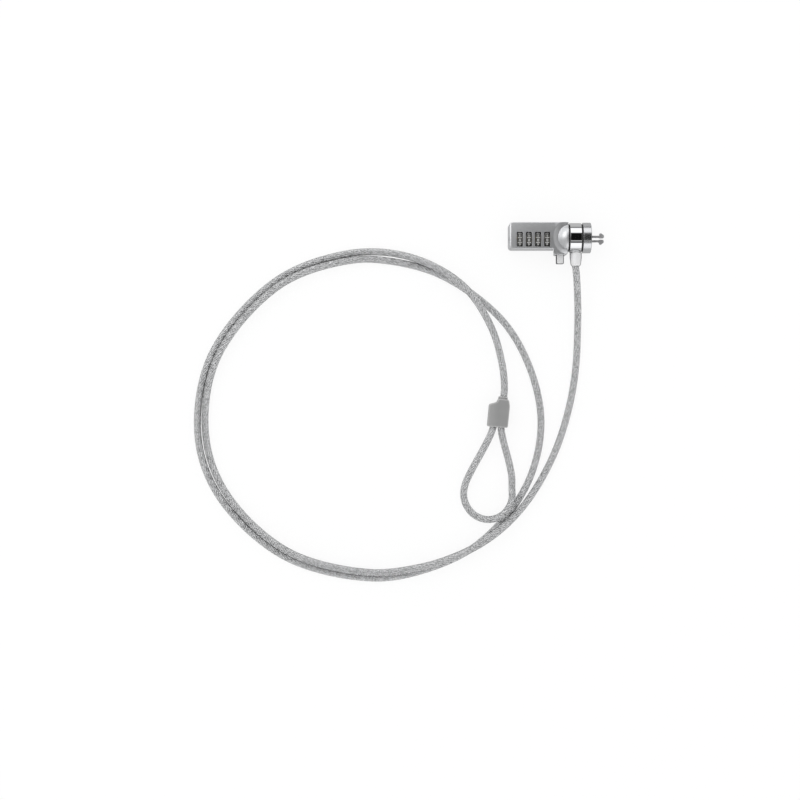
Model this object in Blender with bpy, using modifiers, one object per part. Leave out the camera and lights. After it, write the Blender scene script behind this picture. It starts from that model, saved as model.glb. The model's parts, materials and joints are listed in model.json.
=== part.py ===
"""Laptop cable lock: a four-dial combination head with two scissor hooks for a security slot, a swivel
collar, and a plastic-covered wire rope laid in a two-lap coil that ends in a crimped loop.

Frame: +X along the head towards its nose, +Y across it, +Z up out of the dial face. The origin is on the
flat back of the head, under the middle of the dial row and in line with the barrel. Sizes are in
millimetres until they meet Blender, where the helpers multiply them by MM.
"""

import math

import bmesh
import bpy
from mathutils import Matrix, Vector

MM = 0.001
SEAM = 0.12  # gap left between two pieces that rest on each other
RUN = 0.15  # clearance round anything that turns or slides

# ---- Driving dimensions of the head ---------------------------------------------------------------
BODY_LEFT, BODY_RIGHT = -14.4, 21.0
BODY_LOW, BODY_HIGH = -6.9, 9.0
BODY_FRONT = 16.4
BODY_EDGE = 1.1
WALL = 1.5

BARREL_Z = 9.3
BARREL_R = 9.2
SPLIT_Z = BARREL_Z  # the two shells meet on the barrel's middle plane
DOME_LENGTH = 7.8

DIAL_COUNT = 4
DIAL_PITCH = 5.47
DIAL_R = 4.6
DIAL_WIDTH = 3.1
DIAL_PROUD = 0.35
DIAL_Y = -1.35
DIAL_Z = BODY_FRONT + DIAL_PROUD - DIAL_R
DIAL_POSITIONS = 10
WINDOW_WIDTH = 3.5
WINDOW_HEIGHT = 8.7

SLEEVE_R = 2.7
SLEEVE_LENGTH = 4.4
GATE_LEFT, GATE_RIGHT = -1.2, -0.6  # the gate ring inside a sleeve, from the sleeve's middle
SPINDLE_R = 1.55
FIN_R = 2.02
FIN_LENGTH = 0.75
SPINDLE_LEFT = -10.2
SPRING_BORE_R = 1.05
SPRING_SEAT = -4.2

BOSS_LEFT, BOSS_RIGHT = 11.6, 20.45
BOSS_LOW = -10.5
BOSS_BACK = 3.4

BUTTON_X = 16.62
BUTTON_WIDTH = 5.7
BUTTON_DEPTH = 5.8
BUTTON_TIP = -15.65
BUTTON_TRAVEL = 2.0
STEM_THICKNESS = 2.0

RING_LEFT, RING_RIGHT = 22.1, 28.95
RING_R = 9.0
CORE_R = 6.3
CORE_BORE_R = 4.6
WASHER_R = 8.3
CAP_LEFT, NOSE = 29.95, 34.9

HOOK_TIP = 43.0
HOOK_THICKNESS = 1.35
HOOK_GAP = 0.1
HOOK_Y = -0.3
PIVOT_X = 26.5
PIVOT_R = 0.75

# ---- Driving dimensions of the cable --------------------------------------------------------------
CABLE_R = 2.15
JACKET_WALL = 0.55
ROPE_R = 1.4
TONGUE_X = 25.6
TONGUE_R = 3.3
TONGUE_END = -16.9
CABLE_STEP = 23.0  # a path point after this far along a straight run
CABLE_TURN = math.radians(21.0)  # or after this much bend, in any mix of the two
CURVE_SHARES = 24  # steps between two knots when the curve is measured

COIL_X, COIL_Y = -99.6, -105.1
# The lay of the cable round the coil's centre: winding angle in degrees, radius, and height of its middle
# above the table. The first lap starts outside the second and climbs over it at -50.
LAY = (
    (22.0, 137.0, 3.2),
    (12.0, 128.6, 2.4),
    (2.0, 122.4, 2.3),
    (-10.0, 117.1, 2.3),
    (-22.0, 112.9, 2.5),
    (-32.0, 110.2, 4.0),
    (-41.0, 107.6, 6.2),
    (-50.0, 104.9, 6.9),
    (-60.0, 101.9, 6.9),
    (-72.0, 99.2, 6.4),
    (-90.0, 97.3, 5.2),
    (-120.0, 97.6, 4.6),
    (-150.0, 99.4, 2.6),
    (-172.0, 99.7, 2.3),
    (-200.0, 97.2, 3.9),
    (-235.0, 93.7, 5.0),
    (-262.0, 92.6, 3.6),
    (-278.0, 92.7, 2.3),
    (-300.0, 94.4, 2.3),
    (-330.0, 99.1, 2.3),
    (-360.0, 104.6, 2.3),
    (-384.0, 106.3, 2.3),
    (-410.0, 104.6, 2.3),
    (-432.0, 101.9, 2.3),
    (-450.0, 100.9, 2.3),
    (-480.0, 101.5, 2.3),
    (-510.0, 104.0, 2.3),
    (-532.0, 104.4, 2.3),
    (-560.0, 101.3, 2.3),
    (-595.0, 97.4, 2.3),
    (-622.0, 97.0, 2.3),
    (-640.0, 97.6, 2.9),
    (-656.0, 96.9, 5.6),
    (-670.0, 95.2, 6.9),
    (-686.0, 90.6, 6.2),
    (-700.0, 86.6, 4.6),
)

COVER_X, COVER_Y = -20.4, -105.9
COVER_TILT = math.radians(4.5)
COVER_THICKNESS = 8.2
COVER_OUTLINE = (
    (-6.2, -8.4),
    (6.2, -8.4),
    (6.5, 4.5),
    (5.7, 8.6),
    (-0.8, 8.8),
    (-1.3, 6.8),
    (-6.0, 5.1),
)
STRAND_OFFSET = 2.5
LOOP_X, LOOP_Y = -26.6, -154.6
LOOP_R = 14.8
LOOP_HEIGHTS = (3.8, 5.6, 6.3, 5.5, 3.4, 2.3, 2.3, 2.4, 3.0)


# ---- Scene and materials --------------------------------------------------------------------------
def clear_scene():
    for obj in list(bpy.data.objects):
        bpy.data.objects.remove(obj, do_unlink=True)


def new_collection(name):
    collection = bpy.data.collections.new(name)
    bpy.context.scene.collection.children.link(collection)
    return collection


def principled(name, colour, roughness, metallic):
    material = bpy.data.materials.new(name)
    material.use_nodes = True
    shader = material.node_tree.nodes["Principled BSDF"]
    shader.inputs["Base Color"].default_value = (*colour, 1.0)
    shader.inputs["Roughness"].default_value = roughness
    shader.inputs["Metallic"].default_value = metallic
    return material


clear_scene()
PARTS = new_collection("laptop_cable_lock")
CUTTERS = new_collection("cutters")
CUTTERS.hide_render = True

SATIN = principled("satin_silver", (0.60, 0.62, 0.64), 0.38, 0.6)
CHROME = principled("chrome", (0.86, 0.87, 0.88), 0.08, 1.0)
STEEL = principled("steel", (0.52, 0.53, 0.55), 0.3, 1.0)
BLACK = principled("black_plastic", (0.03, 0.03, 0.03), 0.45, 0.0)
BRASS = principled("brass", (0.72, 0.55, 0.28), 0.35, 1.0)
ALUMINIUM = principled("aluminium", (0.72, 0.73, 0.75), 0.4, 1.0)
PVC = principled("clear_pvc", (0.80, 0.81, 0.82), 0.2, 0.0)
GREY_PVC = principled("grey_pvc", (0.38, 0.38, 0.38), 0.5, 0.0)


# ---- Shape helpers --------------------------------------------------------------------------------
def link(obj, material=None):
    """Put the object in the parts collection with its material, or in the cutters when it has none."""
    if material is None:
        CUTTERS.objects.link(obj)
        obj.hide_render = True
        obj.display_type = "WIRE"
    else:
        PARTS.objects.link(obj)
        obj.data.materials.append(material)
    return obj


def from_bmesh(name, bm, material):
    mesh = bpy.data.meshes.new(name)
    bmesh.ops.recalc_face_normals(bm, faces=bm.faces)
    bm.to_mesh(mesh)
    bm.free()
    return link(bpy.data.objects.new(name, mesh), material)


def shade_round(obj):
    """Smooth shading on the round faces, with the edges between them and the flat ones kept sharp."""
    obj.data.shade_smooth()
    obj.data.set_sharp_from_angle(angle=math.radians(32.0))
    return obj


def box(name, x, y, z, material=None, edge=0.0, segments=2):
    """A box between pairs of limits, with rounded edges if edge is given."""
    bm = bmesh.new()
    bmesh.ops.create_cube(bm, size=1.0)
    limits = (x, y, z)
    for vert in bm.verts:
        vert.co = [(lo if c < 0 else hi) * MM for c, (lo, hi) in zip(vert.co, limits)]
    obj = from_bmesh(name, bm, material)
    if edge:
        bevel = obj.modifiers.new("edges", "BEVEL")
        bevel.width = edge * MM
        bevel.segments = segments
        bevel.limit_method = "ANGLE"
    return obj


AXIS_TURNS = {
    "X": Matrix.Rotation(math.radians(90), 4, "Y"),
    "Y": Matrix.Rotation(math.radians(-90), 4, "X"),
    "Z": Matrix.Identity(4),
}


def cylinder(name, axis, centre, radius, length, material=None, sides=24):
    """A cylinder whose middle is at centre."""
    bm = bmesh.new()
    bmesh.ops.create_cone(
        bm, cap_ends=True, segments=sides, radius1=radius * MM, radius2=radius * MM, depth=length * MM
    )
    obj = shade_round(from_bmesh(name, bm, material))
    obj.matrix_world = Matrix.Translation(Vector(centre) * MM) @ AXIS_TURNS[axis]
    return obj


def ellipsoid(name, centre, radii, rows=16, turn=None):
    """A cutter or a join with three radii. Its poles are on Z unless it is turned."""
    bm = bmesh.new()
    bmesh.ops.create_uvsphere(bm, u_segments=32, v_segments=rows, radius=1.0)
    bmesh.ops.transform(bm, matrix=(turn or Matrix.Identity(4)), verts=bm.verts)
    bmesh.ops.scale(bm, vec=Vector(radii) * MM, verts=bm.verts)
    bmesh.ops.translate(bm, vec=Vector(centre) * MM, verts=bm.verts)
    return shade_round(from_bmesh(name, bm, None))


def turned(name, axis, centre, profile, material=None, steps=32):
    """A turned shape from a profile of (distance along the axis, radius), which closes on itself unless it
    starts and ends on the axis. The profile runs up its outer side: the Screw takes it in reverse, so that
    its faces point out."""
    bm = bmesh.new()
    verts = [bm.verts.new((radius * MM, 0.0, along * MM)) for along, radius in reversed(profile)]
    for first, second in zip(verts, verts[1:]):
        bm.edges.new((first, second))
    if profile[0][1] > 0.0:
        bm.edges.new((verts[-1], verts[0]))
    mesh = bpy.data.meshes.new(name)
    bm.to_mesh(mesh)
    bm.free()
    sketch = bpy.data.objects.new(name + "_profile", mesh)
    PARTS.objects.link(sketch)
    screw = sketch.modifiers.new("turn", "SCREW")
    screw.axis = "Z"
    screw.steps = steps
    screw.render_steps = steps
    screw.use_merge_vertices = True
    screw.merge_threshold = 0.00001
    mesh, _ = solid_mesh(sketch, name)
    obj = shade_round(link(bpy.data.objects.new(name, mesh), material))
    obj.matrix_world = Matrix.Translation(Vector(centre) * MM) @ AXIS_TURNS[axis]
    return obj


def tube_profile(start, end, outer, inner):
    return ((start, outer), (end, outer), (end, inner), (start, inner))


def cut(obj, *cutters):
    for cutter in cutters:
        modifier = obj.modifiers.new("cut_" + cutter.name, "BOOLEAN")
        modifier.operation = "DIFFERENCE"
        modifier.object = cutter


def join(obj, *others):
    for other in others:
        modifier = obj.modifiers.new("join_" + other.name, "BOOLEAN")
        modifier.operation = "UNION"
        modifier.object = other


def keep_inside(obj, limit):
    modifier = obj.modifiers.new("inside_" + limit.name, "BOOLEAN")
    modifier.operation = "INTERSECT"
    modifier.object = limit


def solid_mesh(obj, name):
    """The evaluated object as a new welded mesh in the same place. The original is removed."""
    bpy.context.view_layer.update()
    graph = bpy.context.evaluated_depsgraph_get()
    mesh = bpy.data.meshes.new_from_object(obj.evaluated_get(graph))
    mesh.name = name
    bm = bmesh.new()
    bm.from_mesh(mesh)
    bmesh.ops.remove_doubles(bm, verts=bm.verts, dist=0.000001)
    bm.to_mesh(mesh)
    bm.free()
    place = obj.matrix_world.copy()
    bpy.data.objects.remove(obj, do_unlink=True)
    mesh.materials.clear()
    return mesh, place


def flat_plate(name, outlines, thickness, place, material):
    """A flat outline, with any further outlines as its holes, given thickness about its own plane."""
    curve = bpy.data.curves.new(name, "CURVE")
    curve.dimensions = "2D"
    curve.fill_mode = "BOTH"
    curve.extrude = thickness / 2 * MM
    for outline in outlines:
        spline = curve.splines.new("POLY")
        spline.points.add(len(outline) - 1)
        for point, (u, v) in zip(spline.points, outline):
            point.co = (u * MM, v * MM, 0.0, 1.0)
        spline.use_cyclic_u = True
    sketch = bpy.data.objects.new(name + "_sketch", curve)
    PARTS.objects.link(sketch)
    sketch.matrix_world = place
    mesh, place = solid_mesh(sketch, name)
    obj = shade_round(link(bpy.data.objects.new(name, mesh), material))
    obj.matrix_world = place
    return obj


def wire(name, points, radius, material, resolution=1, caps=True):
    """A round wire along a run of points."""
    curve = bpy.data.curves.new(name, "CURVE")
    curve.dimensions = "3D"
    curve.bevel_depth = radius * MM
    curve.bevel_resolution = resolution
    curve.use_fill_caps = caps
    spline = curve.splines.new("POLY")
    spline.points.add(len(points) - 1)
    for point, position in zip(spline.points, points):
        point.co = (*(Vector(position) * MM), 1.0)
    return link(bpy.data.objects.new(name, curve), material)


def coil(axis_point, axis, radius, length, turns, per_turn=10):
    """Points along a spring that starts at axis_point and winds along the X or Z axis."""
    points = []
    count = int(turns * per_turn)
    for step in range(count + 1):
        angle = 2 * math.pi * step / per_turn
        along = length * step / count
        across = (radius * math.cos(angle), radius * math.sin(angle))
        offset = (along, *across) if axis == "X" else (*across, along)
        points.append(Vector(axis_point) + Vector(offset))
    return points


def arc(centre, radius, start, end, steps):
    """Points on an arc, with angles in degrees."""
    angles = [math.radians(start + (end - start) * i / steps) for i in range(steps + 1)]
    return [(centre[0] + radius * math.cos(a), centre[1] + radius * math.sin(a)) for a in angles]


# ---- The two shells -------------------------------------------------------------------------------
def dial_centres():
    middle = (DIAL_COUNT - 1) / 2
    return [(i - middle) * DIAL_PITCH for i in range(DIAL_COUNT)]


def rib_centres():
    dials = dial_centres()
    return [(a + b) / 2 for a, b in zip(dials, dials[1:])]


RIVETS = ((-12.3, 6.6), (0.0, 6.6), (11.6, 6.6), (-12.6, -5.3))
RIVET_R = 0.8
RIVET_HEAD_R = 1.3
RIVET_FLOOR, RIVET_HEAD_TOP, RIVET_TOP = 0.06, 0.7, 12.7
CHAMBER_END = dial_centres()[-1] + DIAL_WIDTH / 2 + 0.25
RIB_WIDTH = DIAL_PITCH - DIAL_WIDTH - 0.46
YOKE_ROOM = (CHAMBER_END + 1.2, 18.3)
FLANGE_LEFT, FLANGE_RIGHT = 18.4, 19.3
FLANGE_R = 7.0
RESET_FLANGE = (-13.35, -12.5)
RESET_R = 1.95


def shell_outside(name, material):
    """The outside of the whole head: block, button boss and domed barrel, and the dish round the dome."""
    length = (BODY_LEFT, BODY_RIGHT + 3.0)
    body = box(name, length, (BODY_LOW, BODY_HIGH), (0.0, BODY_FRONT), material, BODY_EDGE)
    boss = box(
        name + "_boss",
        (BOSS_LEFT, BOSS_RIGHT),
        (BOSS_LOW, BODY_LOW + 2.0),
        (BOSS_BACK, BODY_FRONT - 0.05),
        edge=0.7,
    )
    dish = ellipsoid(name + "_dish", (BODY_RIGHT, 0.0, BODY_FRONT + 2.8), (12.0, 14.5, 5.2))
    dome = ellipsoid(
        name + "_dome",
        (BODY_RIGHT, 0.0, BARREL_Z),
        (DOME_LENGTH, BARREL_R, BARREL_R),
        rows=15,
        turn=AXIS_TURNS["X"],
    )
    past_end = box(
        name + "_past_end", (BODY_RIGHT, BODY_RIGHT + 20.0), (-20.0, 20.0), (-20.0, 40.0)
    )
    join(body, boss)
    cut(body, dish)
    join(body, dome)
    cut(body, past_end)
    return body


def shell_cavities():
    """Everything that is cut from both shells."""
    low, high = DIAL_Y - DIAL_R - RUN, DIAL_Y + DIAL_R + RUN
    cavities = []
    edges = [-CHAMBER_END]
    for rib in rib_centres():
        edges += [rib - RIB_WIDTH / 2, rib + RIB_WIDTH / 2]
    edges.append(CHAMBER_END)
    for number, (left, right) in enumerate(zip(edges[::2], edges[1::2]), 1):
        room = box(f"dial_room_{number}", (left, right), (low, high), (WALL, BODY_FRONT - WALL))
        cavities.append(room)
    for number, x in enumerate(dial_centres(), 1):
        half = WINDOW_WIDTH / 2
        window = box(
            f"window_{number}",
            (x - half, x + half),
            (DIAL_Y - WINDOW_HEIGHT / 2, DIAL_Y + WINDOW_HEIGHT / 2),
            (BODY_FRONT - WALL - 1.0, BODY_FRONT + 2.0),
            edge=0.3,
            segments=1,
        )
        cavities.append(window)
    journals = (-CHAMBER_END - 1.35, CHAMBER_END + 0.6)
    cavities += [
        cylinder(
            "journals",
            "X",
            (sum(journals) / 2, DIAL_Y, DIAL_Z),
            SLEEVE_R + RUN,
            journals[1] - journals[0],
        ),
        cylinder("spindle_way", "X", (1.0, DIAL_Y, DIAL_Z), SPINDLE_R + 0.2, 27.0),
        box("yoke_room", YOKE_ROOM, (-5.6, 4.2), (5.2, 13.7)),
        box("stem_way", (12.75, STEM_RIGHT + RUN), (-7.3, -5.3), (BARREL_Z - 1.2, BARREL_Z + 1.2)),
        box(
            "button_way",
            (BUTTON_X - BUTTON_WIDTH / 2 - RUN, BUTTON_X + BUTTON_WIDTH / 2 + RUN),
            (BOSS_LOW - 1.0, -7.1),
            (BARREL_Z - BUTTON_DEPTH / 2 - RUN, BARREL_Z + BUTTON_DEPTH / 2 + RUN),
        ),
        box(
            "button_flange_room",
            (BUTTON_X - BUTTON_WIDTH / 2 - RUN, BUTTON_X + BUTTON_WIDTH / 2 + RUN),
            (-10.0, -7.1),
            (BARREL_Z - 3.65, BARREL_Z + 3.65),
        ),
        cylinder("core_flange_seat", "X", (18.85, 0, BARREL_Z), FLANGE_R + RUN, 1.3, sides=40),
        cylinder("core_way", "X", (20.5, 0, BARREL_Z), CORE_R + RUN, 3.0, sides=40),
        cylinder("reset_head_way", "X", (-14.2, DIAL_Y, DIAL_Z), RESET_R + RUN, 2.2),
        cylinder("reset_flange_room", "X", (-12.85, DIAL_Y, DIAL_Z), SLEEVE_R + RUN, 1.3),
        box("leaf_channel", (-9.8, 9.8), (1.6, 3.2), (WALL, WALL + 1.0)),
    ]
    return cavities


def make_shells():
    cavities = shell_cavities()
    front = shell_outside("front_shell", SATIN)
    back = shell_outside("back_shell", SATIN)
    far = 60.0
    keep_inside(front, box("front_half", (-far, far), (-far, far), (SPLIT_Z + SEAM / 2, far)))
    keep_inside(back, box("back_half", (-far, far), (-far, far), (-far, SPLIT_Z - SEAM / 2)))
    cut(front, *cavities)
    cut(back, *cavities)
    for number, (x, y) in enumerate(RIVETS, 1):
        way = RIVET_R + SEAM
        head_way = RIVET_HEAD_R + SEAM
        shank = cylinder(f"rivet_way_{number}", "Z", (x, y, 5.0), way, 16.0, sides=16)
        head = cylinder(f"rivet_head_way_{number}", "Z", (x, y, 0.0), head_way, 1.6, sides=16)
        cut(front, shank)
        cut(back, shank, head)
    return front, back


def make_rivets():
    """Four rivets, pressed in from the back, with flush heads."""
    for number, (x, y) in enumerate(RIVETS, 1):
        profile = (
            (RIVET_FLOOR, 0.0),
            (RIVET_FLOOR, RIVET_HEAD_R),
            (RIVET_HEAD_TOP, RIVET_HEAD_R),
            (RIVET_HEAD_TOP, RIVET_R),
            (RIVET_TOP, RIVET_R),
            (RIVET_TOP, 0.0),
        )
        turned(f"case_rivet_{number}", "Z", (x, y, 0), profile, STEEL, steps=16)


# ---- Dials, sleeves and what holds them -----------------------------------------------------------
def make_dials():
    """Number rings with ten grip grooves, one between each two digits."""
    profile = tube_profile(-DIAL_WIDTH / 2, DIAL_WIDTH / 2, DIAL_R, SLEEVE_R + 0.1)
    ring = turned("dial_blank", "X", (0, 0, 0), profile, BLACK, 30)
    groove_r = 0.3 * MM
    bm = bmesh.new()
    for step in range(DIAL_POSITIONS):
        angle = math.radians(360 / DIAL_POSITIONS * (step + 0.5))
        place = Matrix.Translation((0, DIAL_R * math.cos(angle) * MM, DIAL_R * math.sin(angle) * MM))
        bmesh.ops.create_cone(
            bm,
            cap_ends=True,
            segments=6,
            radius1=groove_r,
            radius2=groove_r,
            depth=2 * DIAL_WIDTH * MM,
            matrix=place @ AXIS_TURNS["X"],
        )
    cut(ring, from_bmesh("dial_grooves", bm, None))
    mesh, turn = solid_mesh(ring, "dial")
    mesh.materials.append(BLACK)
    for number, x in enumerate(dial_centres(), 1):
        obj = bpy.data.objects.new(f"dial_{number}", mesh)
        PARTS.objects.link(obj)
        obj.matrix_world = Matrix.Translation(Vector((x, DIAL_Y, DIAL_Z)) * MM) @ turn


def make_sleeves():
    """Code sleeves: a thin gate ring in a wide bore. The spindle's fin waits on its right, passes through
    its one gap as the button is pressed, and ends on its left, clear of it."""
    half = SLEEVE_LENGTH / 2
    bore, wide = SPINDLE_R + 0.2, FIN_R + 0.2
    profile = (
        (-half, SLEEVE_R),
        (half, SLEEVE_R),
        (half, wide),
        (GATE_RIGHT, wide),
        (GATE_RIGHT, bore),
        (GATE_LEFT, bore),
        (GATE_LEFT, wide),
        (-half, wide),
    )
    blank = turned("sleeve_blank", "X", (0, 0, 0), profile, BRASS, 22)
    gap = box("sleeve_gate", (GATE_LEFT - 0.1, GATE_RIGHT + 0.1), (-0.55, 0.55), (0.8, wide - 0.03))
    cut(blank, gap)
    mesh, turn = solid_mesh(blank, "sleeve")
    mesh.materials.append(BRASS)
    for number, x in enumerate(dial_centres(), 1):
        obj = bpy.data.objects.new(f"dial_sleeve_{number}", mesh)
        PARTS.objects.link(obj)
        obj.matrix_world = Matrix.Translation(Vector((x, DIAL_Y, DIAL_Z)) * MM) @ turn


def make_spindle():
    """The sliding spindle, bored for its spring, with a fin for each sleeve and a thin tip for the yoke."""
    tip_r = 0.7
    neck = YOKE_LEFT - 0.15
    profile = (
        (SPRING_SEAT, 0.0),
        (SPRING_SEAT, SPRING_BORE_R),
        (SPINDLE_LEFT, SPRING_BORE_R),
        (SPINDLE_LEFT, SPINDLE_R),
        (neck, SPINDLE_R),
        (neck, tip_r),
        (YOKE_WINDOW_LEFT - 0.1, tip_r),
        (YOKE_WINDOW_LEFT - 0.1, 0.0),
    )
    spindle = turned("spindle", "X", (0, DIAL_Y, DIAL_Z), profile, STEEL, 20)
    for number, x in enumerate(dial_centres(), 1):
        left = x + GATE_RIGHT + 0.2
        fin = box(
            f"fin_{number}",
            (left, left + FIN_LENGTH),
            (DIAL_Y - 0.4, DIAL_Y + 0.4),
            (DIAL_Z + SPINDLE_R - 0.5, DIAL_Z + FIN_R),
        )
        join(spindle, fin)


def make_spindle_spring():
    start = (RESET_FLANGE[1] + 0.3, DIAL_Y, DIAL_Z)
    length = SPRING_SEAT - 0.25 - start[0]
    wire("spindle_spring", coil(start, "X", 0.78, length, 8, 7), 0.14, STEEL, resolution=0)


def make_reset_screw():
    """Slotted screw in the end wall: a quarter turn frees the sleeves for a new code."""
    profile = (
        (BODY_LEFT + 0.15, 0.0),
        (BODY_LEFT + 0.15, RESET_R),
        (RESET_FLANGE[0], RESET_R),
        (RESET_FLANGE[0], SLEEVE_R - 0.05),
        (RESET_FLANGE[1], SLEEVE_R - 0.05),
        (RESET_FLANGE[1], 0.0),
    )
    screw = turned("reset_screw", "X", (0, DIAL_Y, DIAL_Z), profile, STEEL, 24)
    slot = box(
        "reset_slot",
        (BODY_LEFT - 1, BODY_LEFT + 0.75),
        (DIAL_Y - 0.3, DIAL_Y + 0.3),
        (DIAL_Z - 3, DIAL_Z + 3),
    )
    cut(screw, slot)


def make_detent_spring():
    """A strip along the back shell's floor with one bowed finger under each dial."""
    thickness = 0.3
    half = thickness / 2
    floor = WALL + 0.2
    top = DIAL_Z - DIAL_R - 0.3
    line = (
        (2.7, floor + half),
        (1.2, floor + 0.5),
        (-0.4, top - 0.9),
        (DIAL_Y, top),
        (DIAL_Y - 1.4, top - 1.0),
    )
    strip = box("detent_spring", (-9.5, 9.5), (1.8, 3.0), (floor, floor + thickness), STEEL)
    for number, x in enumerate(dial_centres(), 1):
        across = [Vector((b[1] - a[1], a[0] - b[0])).normalized() for a, b in zip(line, line[1:])]
        bends = [(p + q).normalized() for p, q in zip(across, across[1:])]
        across = [across[0], *bends, across[-1]]
        upper = [(u + n.x * half, v + n.y * half) for (u, v), n in zip(line, across)]
        lower = [(u - n.x * half, v - n.y * half) for (u, v), n in zip(line, across)]
        stand_up = Matrix(((0, 0, 1, x * MM), (1, 0, 0, 0), (0, 1, 0, 0), (0, 0, 0, 1)))
        finger = flat_plate(f"finger_{number}", [upper + lower[::-1]], 2.2, stand_up, None)
        join(strip, finger)


# ---- Button, yoke and hooks -----------------------------------------------------------------------
YOKE_LEFT = 13.4
YOKE_WINDOW_LEFT = 14.85
YOKE_WINDOW_RIGHT = 19.7
YOKE_RIGHT = 20.9
STEM_LEFT, STEM_RIGHT = 15.0, 17.4
YOKE_LOW, YOKE_HIGH = -2.6, 1.6
STEM_Y = (-9.6, 1.8)


def make_button():
    """A square button with a flange that keeps it in the boss, and a stem with a 45 degree ramp."""
    inner = -9.3
    half_w, half_d = BUTTON_WIDTH / 2, BUTTON_DEPTH / 2
    button = box(
        "push_button",
        (BUTTON_X - half_w, BUTTON_X + half_w),
        (BUTTON_TIP, inner),
        (BARREL_Z - half_d, BARREL_Z + half_d),
        CHROME,
        edge=0.6,
    )
    flange = box(
        "button_flange",
        (BUTTON_X - half_w + 0.1, BUTTON_X + half_w - 0.1),
        (-9.9, -9.2),
        (BARREL_Z - 3.5, BARREL_Z + 3.5),
    )
    ramp_top = YOKE_LOW - 0.05
    outline = (
        (STEM_RIGHT, STEM_Y[0]),
        (STEM_RIGHT, STEM_Y[1]),
        (STEM_LEFT, STEM_Y[1]),
        (STEM_LEFT, ramp_top),
        (STEM_LEFT - BUTTON_TRAVEL, ramp_top - BUTTON_TRAVEL),
        (STEM_LEFT - BUTTON_TRAVEL, -6.3),
        (STEM_LEFT - BUTTON_TRAVEL / 2, -7.4),
        (STEM_LEFT, STEM_Y[0]),
    )
    at_barrel = Matrix.Translation((0, 0, BARREL_Z * MM))
    stem = flat_plate("button_stem", [outline], STEM_THICKNESS, at_barrel, None)
    join(button, flange, stem)


def make_yoke():
    """The yoke takes the spindle's tip, straddles the button's stem, and ends in the wedge that spreads the
    hooks."""
    yoke = box("release_yoke", (YOKE_LEFT, YOKE_RIGHT), (YOKE_LOW, YOKE_HIGH), (7.1, 13.4), STEEL)
    around_stem = (BARREL_Z - 1.2, BARREL_Z + 1.2)
    window = box("yoke_window", (YOKE_WINDOW_LEFT, YOKE_WINDOW_RIGHT), (-5.0, 5.0), around_stem)
    tip_way = cylinder("spindle_tip_way", "X", (14.0, DIAL_Y, DIAL_Z), 0.8, 4.0, sides=16)
    top = box("yoke_step", (15.6, 22.0), (-6.0, 6.0), (11.5, 14.0))
    outline = (
        (YOKE_RIGHT - 0.5, HOOK_Y - 0.8),
        (22.4, HOOK_Y - 0.8),
        (23.9, HOOK_Y - 0.4),
        (23.9, HOOK_Y + 0.4),
        (22.4, HOOK_Y + 0.8),
        (YOKE_RIGHT - 0.5, HOOK_Y + 0.8),
    )
    wedge = flat_plate("yoke_wedge", [outline], 2.6, Matrix.Translation((0, 0, BARREL_Z * MM)), None)
    cut(yoke, window, tip_way, top)
    join(yoke, wedge)


def hook_outline():
    """The upper hook from its tail, which crosses the pivot, to its flat-backed tooth, about the pivot."""
    eye_r = 2.0
    eye = arc((0.0, 0.0), eye_r, 205, 140, 5)
    tail = -4.7
    neck = -1.9
    shank = 4.0
    tooth = 13.7
    tip = HOOK_TIP - PIVOT_X
    return [
        (tail, -2.15),
        (tail, -0.95),
        (neck, -0.9),
        *eye[1:-1],
        (-1.1, eye_r),
        (shank, 2.05),
        (tooth - 0.3, 2.05),
        (tooth, 2.25),
        (tooth, 3.35),
        (tooth + 0.3, 3.65),
        (tooth + 1.1, 3.65),
        (tip - 0.1, 2.2),
        (tip, 1.6),
        (tip, -0.2),
        (tip - 0.5, -0.75),
        (tooth + 0.4, -0.7),
        (tooth - 0.8, 0.7),
        (shank, 0.75),
        *arc((0.0, 0.0), eye_r, 0, -90, 4),
        (neck, -2.15),
    ]


def make_hooks():
    """The two hooks, whose origins are on their pivot, and the pin and spring that they turn on."""
    hole = arc((0.0, 0.0), PIVOT_R + 0.1, 0, 360 - 30, 11)
    layer = HOOK_GAP / 2 + HOOK_THICKNESS / 2
    for name, side in (("upper_hook", 1), ("lower_hook", -1)):
        outline = [(x, side * y) for x, y in hook_outline()]
        place = Matrix.Translation(Vector((PIVOT_X, HOOK_Y, BARREL_Z + side * layer)) * MM)
        flat_plate(name, [outline, hole], HOOK_THICKNESS, place, STEEL)
    cylinder("hook_pivot_pin", "Z", (PIVOT_X, HOOK_Y, BARREL_Z), PIVOT_R, 11.6, STEEL, sides=16)
    start = (PIVOT_X, HOOK_Y, BARREL_Z + 1.8)
    wire("hook_spring", coil(start, "Z", 1.2, 1.3, 3, 9), 0.18, STEEL, resolution=0)


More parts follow.
